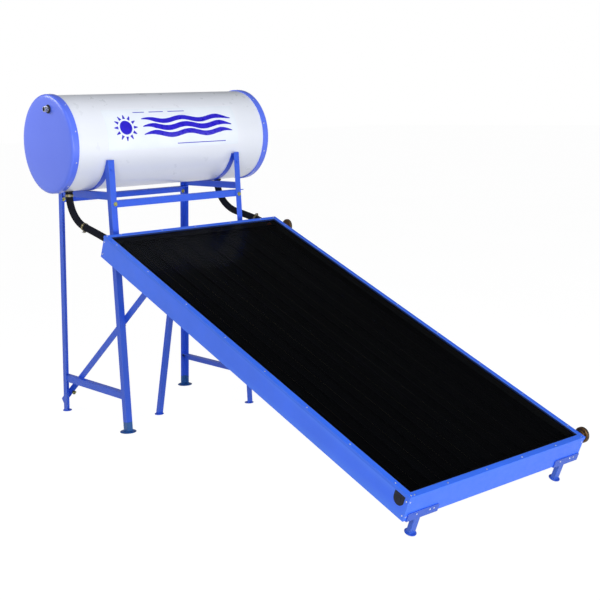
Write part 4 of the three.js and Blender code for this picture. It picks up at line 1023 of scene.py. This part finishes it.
b = B()
SK = 0.0015
x0, x1 = TANK_X0 + 0.022, TANK_X1 - 0.022
pr = [(TANK_R, 0)]
nseg = 48
for k in range(1, nseg):
    pr.append((TANK_R + 0.00012 * sin(k * 0.9) * sin(pi * k / nseg), (x1 - x0) * k / nseg))
pr += [(TANK_R, x1 - x0), (TANK_R - SK, x1 - x0), (TANK_R - SK, 0)]
b.lathe(pr, D(x0, TANK_Y, TANK_Z), X, 192)
# the sheet's lengthwise lock seam, low at the back
ws = radians(205)
sv = []
sect = fillet([(-0.0045, -0.0002), (0.0045, -0.0002), (0.0045, 0.0012), (-0.0045, 0.0012)], [0, 0, 0.0008, 0.0008], 3)
rd = V((0, -cos(ws), sin(ws)))
tg = V((0, sin(ws), cos(ws)))
b.prism(sect, D(x0 + 0.026, TANK_Y, TANK_Z) + rd * (TANK_R - 0.0002), tg, rd, X, x1 - x0 - 0.052)
shell = b.mesh("tank_shell_sheet", [M["tank"]], 35, True, "tank_white", ("tank_shell",))

CAP = [(0, 0), (0.070, 0.0002), (0.140, 0.0006), (0.180, 0.0012), (0.205, 0.0018), (0.2160, 0.0024), (0.2215, 0.0032), (0.2255, 0.0043), (0.2285, 0.0058), (0.2306, 0.0076), (0.2320, 0.0096), (0.2329, 0.0118), (0.2333, 0.0142),
       (0.2333, 0.0345), (0.2333, 0.0356), (0.2335, 0.0366), (0.2335, 0.0390), (0.2332, 0.0397), (0.2324, 0.0400), (TANK_R + 0.0006, 0.0400), (TANK_R + 0.0006, 0.0145), (0.2220, 0.0094), (0.2030, 0.0064), (0.1500, 0.0052), (0, 0.0045)]
hotY, hotZ = TANK_Y - 0.039, TANK_Z + 0.164
for side, xx, ax in (("left", TANK_X0, X), ("right", TANK_X1, -X)):
    b = B().lathe(CAP, D(xx, TANK_Y, TANK_Z), ax, 192)
    o = b.mesh("tank_cap_" + side + "_cover", [M["cap"]], 50, True, "cap_blue", ("tank_cap_" + side,))
    if side == "left":
        o.modifiers.clear()
        o.parent = None
        apply_bool(o, [B().lathe([(0, 0), (0.016, 0), (0.016, 0.06), (0, 0.06)], D(TANK_X0 - 0.02, hotY, hotZ), X, 48)])
        finish_mesh(o, 50, True)
        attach(o, "root")
b = B()
for xx, sx in ((TANK_X0 + 0.029, 1), (TANK_X1 - 0.029, -1)):
    for k in range(10):
        w = radians(15 + 36 * k)
        rd = V((0, -cos(w), sin(w)))
        b.dome(D(xx, TANK_Y, TANK_Z) + rd * 0.2332, rd, 0.0034, 0.0013)
b.mesh("cap_rivets", [M["alu"]], 40, True)

# hot outlet
b = B()
pr = [(0.0100, 0.0), (0.0117, 0.0), (0.0119, 0.0004)]
z = 0.0010
while z < 0.0170:
    pr += [(0.0125, z), (0.0125, z + 0.0004), (0.0117, z + 0.0010)]
    z += 0.0014
pr += [(0.0122, 0.0185), (0.0122, 0.0580), (0.0100, 0.0580)]
b.lathe(pr, D(TANK_X0 - 0.024, hotY, hotZ), X, 56)
b.mesh("hot_outlet_pipe", [M["steel"]], 28, True, "steel", ("hot_outlet_nipple",))
b = B().lathe(fillet([(0.0128, 0), (0.0180, 0), (0.0205, 0.002), (0.0205, 0.006), (0.0156, 0.006), (0.0156, 0.014), (0.0128, 0.014)], [0.0008, 0.0015, 0.0012, 0.0006, 0.0004, 0.0006, 0.0004], 4), D(TANK_X0 - 0.0056, hotY, hotZ), X, 56)
b.mesh("hot_outlet_ring", [M["rubber"]], 35, True, "rubber", ("hot_outlet_grommet",))

# bottom nipples
for side in ("left", "right"):
    x = NIP[side]
    z1 = HOSE_Z0 + GAP
    b = B()
    b.lathe([(0.0100, 0.0), (0.0135, 0.0), (0.0135, TANK_Z - 0.191 - z1), (0.0100, TANK_Z - 0.191 - z1)], D(x, TANK_Y, z1), Z, 40)
    R, n = 0.0195, 48
    rings = []
    vs = []
    for zz, kk in ((0.0, 0.955), (0.0008, 1.0), (0.0032, 1.0), (0.0040, 0.955)):
        for k in range(n):
            w = 2 * pi * k / n
            hr = R * cos(pi / 6) / cos((w % (pi / 3)) - pi / 6)
            rr = min(hr, R * kk * 0.985)
            vs.append(D(x, TANK_Y, z1 + zz) + V((cos(w) * rr, sin(w) * rr, 0)))
    inner = len(vs)
    for zz in (0.0040, 0.0):
        for k in range(n):
            w = 2 * pi * k / n
            vs.append(D(x, TANK_Y, z1 + zz) + V((cos(w) * 0.0138, sin(w) * 0.0138, 0)))
    fs = []
    for j in range(6):
        j2 = (j + 1) % 6
        fs += [(j * n + k, j * n + (k + 1) % n, j2 * n + (k + 1) % n, j2 * n + k) for k in range(n)]
    b.add(vs, fs)
    b.mesh("tank_nipple_" + side + "_fitting", [M["brass"]], 28, True, "brass", ("tank_nipple_" + side,))
    b = B()
    b.lathe([(0.0198, 0.0003), (0.0208, 0.0003), (0.0212, 0.0008), (0.0212, 0.0042), (0.0206, 0.0048), (0.0198, 0.0048)], D(x, TANK_Y, z1), Z, 48)
    b.mesh("tank_nipple_" + side + "_collar", [M["rubber"]], 28, True, "rubber")

# label film and its generic print
LX0, LX1, LA0, LA1 = 0.087, 0.857, radians(-9.5), radians(42.0)
LW_, LH_ = LX1 - LX0, (LA1 - LA0) * TANK_R


def on_tank(s, t, r):
    return TC(LX0 + s, r, LA0 + t / TANK_R)


def film(name, polys, r0, r1, mat, slot):
    """Thin closed patches bent round the tank; each is a grid of rows [[(s, t), ...], ...]."""
    b = B()
    for rows in polys:
        nr, nc = len(rows), len(rows[0])
        vs = [on_tank(s, t, r) for r in (r0, r1) for row in rows for s, t in row]
        K = nr * nc
        ix = lambda l, i, j: l * K + i * nc + j
        fs = []
        for i in range(nr - 1):
            for j in range(nc - 1):
                fs.append((ix(1, i, j), ix(1, i, j + 1), ix(1, i + 1, j + 1), ix(1, i + 1, j)))
                fs.append((ix(0, i, j), ix(0, i + 1, j), ix(0, i + 1, j + 1), ix(0, i, j + 1)))
        ring = [(0, j) for j in range(nc)] + [(i, nc - 1) for i in range(1, nr)] + [(nr - 1, j) for j in range(nc - 2, -1, -1)] + [(i, 0) for i in range(nr - 2, 0, -1)]
        for k in range(len(ring)):
            a, c_ = ring[k], ring[(k + 1) % len(ring)]
            fs.append((ix(0, *a), ix(0, *c_), ix(1, *c_), ix(1, *a)))
        b.add(vs, fs)
    return b.mesh(name, [mat], 50, False, slot)


def rect(s0, s1, t0, t1, n=24, ns=2):
    return [[(s0 + (s1 - s0) * j / ns, t0 + (t1 - t0) * i / n) for j in range(ns + 1)] for i in range(n + 1)]


film("tank_label", [rect(0, LW_, 0, LH_, 40, 8)], TANK_R + 0.00022, TANK_R + 0.00060, M["label"], "tank_white")
art = []


def ribbon(f_lo, f_hi, s0, s1, n=60, nr=4):
    rows = []
    for i in range(nr + 1):
        rows.append([(s0 + (s1 - s0) * j / n, f_lo(s0 + (s1 - s0) * j / n) * (1 - i / nr) + f_hi(s0 + (s1 - s0) * j / n) * i / nr) for j in range(n + 1)])
    return rows


mid = LH_ * 0.52
for k, (off, th) in enumerate(((-0.036, 0.024), (-0.001, 0.026), (0.034, 0.024))):
    amp, ph = 0.008, 0.5 * k
    wave = lambda s, off=off, ph=ph, amp=amp: mid + off + amp * sin(2 * pi * s / 0.21 + ph)
    taper = lambda s, th=th: th * min(1.0, 0.18 + 5.5 * min((s - 0.205) / 0.5, (LW_ - 0.035 - s) / 0.5))
    art.append(ribbon(lambda s: wave(s) - taper(s) / 2, lambda s: wave(s) + taper(s) / 2, 0.205, LW_ - 0.035, 90))
# a sun
sx, sy, sr = 0.108, mid, 0.034
disc = []
for i in range(17):
    w = -pi / 2 + pi * i / 16
    t = sr * sin(w)
    hw = max(sr * cos(w), 0.0004)
    disc.append([(sx - hw + 2 * hw * j / 12, sy + t) for j in range(13)])
art.append(disc)
for k in range(12):
    w = 2 * pi * k / 12
    cw, sw = cos(w), sin(w)
    rows = []
    for i in range(5):
        rr = sr * 1.28 + (sr * 0.62) * i / 4
        hw = 0.0075 * (1 - 0.72 * i / 4)
        rows.append([(sx + cw * rr - sw * hw * q_, sy + sw * rr + cw * hw * q_) for q_ in (-1, -0.33, 0.33, 1)])
    art.append(rows)
for s0, s1 in ((0.170, 0.235), (0.262, 0.345), (0.372, 0.470)):
    art.append(rect(s0, s1, LH_ * 0.885, LH_ * 0.905, 2, 10))
art.append(rect(0.395, 0.690, LH_ * 0.085, LH_ * 0.105, 2, 20))
film("tank_label_print", art, TANK_R + 0.00058, TANK_R + 0.00078, M["print"], "cap_blue")

# ------------------------------------------------------------------ floor, light
fl = bpy.data.meshes.new("floor")
fl.from_pydata([(-40, -40, 0), (40, -40, 0), (40, 40, 0), (-40, 40, 0)], [], [(0, 1, 2, 3)])
floor = bpy.data.objects.new("floor", fl)
scene.collection.objects.link(floor)
floor.location.z = -0.0002
floor.visible_diffuse = False
q = Mat("floor_pale", 0.9, Specular_IOR_Level=0.0, Emission_Color=(1, 1, 1, 1), Emission_Strength=0.96)
q.base(q.ramp(q.noise(0.7, 3.0), [(0.3, (0.115, 0.115, 0.117, 1)), (0.7, (0.13, 0.13, 0.13, 1))]))
fl.materials.append(q.m)


def area(name, loc, target, size, power, col=(1, 1, 1)):
    l = bpy.data.lights.new(name, "AREA")
    l.shape, l.size, l.size_y, l.energy, l.color = "RECTANGLE", size[0], size[1], power, col
    o = bpy.data.objects.new(name, l)
    scene.collection.objects.link(o)
    o.location = loc
    o.rotation_mode = "QUATERNION"
    o.rotation_quaternion = (V(target) - V(loc)).to_track_quat("-Z", "Y")
    return o


area("key", (-3.8, -3.9, 1.9), (0, 0.5, 0.9), (2.8, 2.2), 126)
area("fill", (0.0, -5.6, 0.42), (0, 0.6, 0.9), (3.6, 0.8), 142)
area("top", (-1.0, -1.4, 4.2), (0, 0.9, 1.4), (2.6, 2.2), 46)
area("side", (-1.35, 1.75, 2.05), (-0.58, 0.93, 1.6), (0.7, 0.5), 9)
w = bpy.data.worlds.new("studio")
scene.world = w
w.use_nodes = True
t = w.node_tree
bg = t.nodes["Background"]
tc = t.nodes.new("ShaderNodeTexCoord")
sep = t.nodes.new("ShaderNodeSeparateXYZ")
rmp = t.nodes.new("ShaderNodeValToRGB")
e = rmp.color_ramp.elements
while len(e) < 4:
    e.new(0.5)
for k, (at, g) in enumerate(((0.405, 0.30), (0.46, 1.0), (0.55, 1.0), (0.62, 0.19))):
    e[k].position, e[k].color = at, (g, g, g * 1.02 if g < 1 else 1.0, 1)
t.links.new(tc.outputs["Generated"], sep.inputs[0])
half = t.nodes.new("ShaderNodeMath")
half.operation = "MULTIPLY_ADD"
half.inputs[1].default_value, half.inputs[2].default_value = 0.5, 0.5
t.links.new(sep.outputs["Z"], half.inputs[0])
t.links.new(half.outputs[0], rmp.inputs["Fac"])
t.links.new(rmp.outputs["Color"], bg.inputs["Color"])
bg.inputs["Strength"].default_value = 1.0
scene.view_settings.view_transform = "Standard"
scene.view_settings.look = "None"
scene.view_settings.exposure = 0.0

bpy.context.view_layer.update()
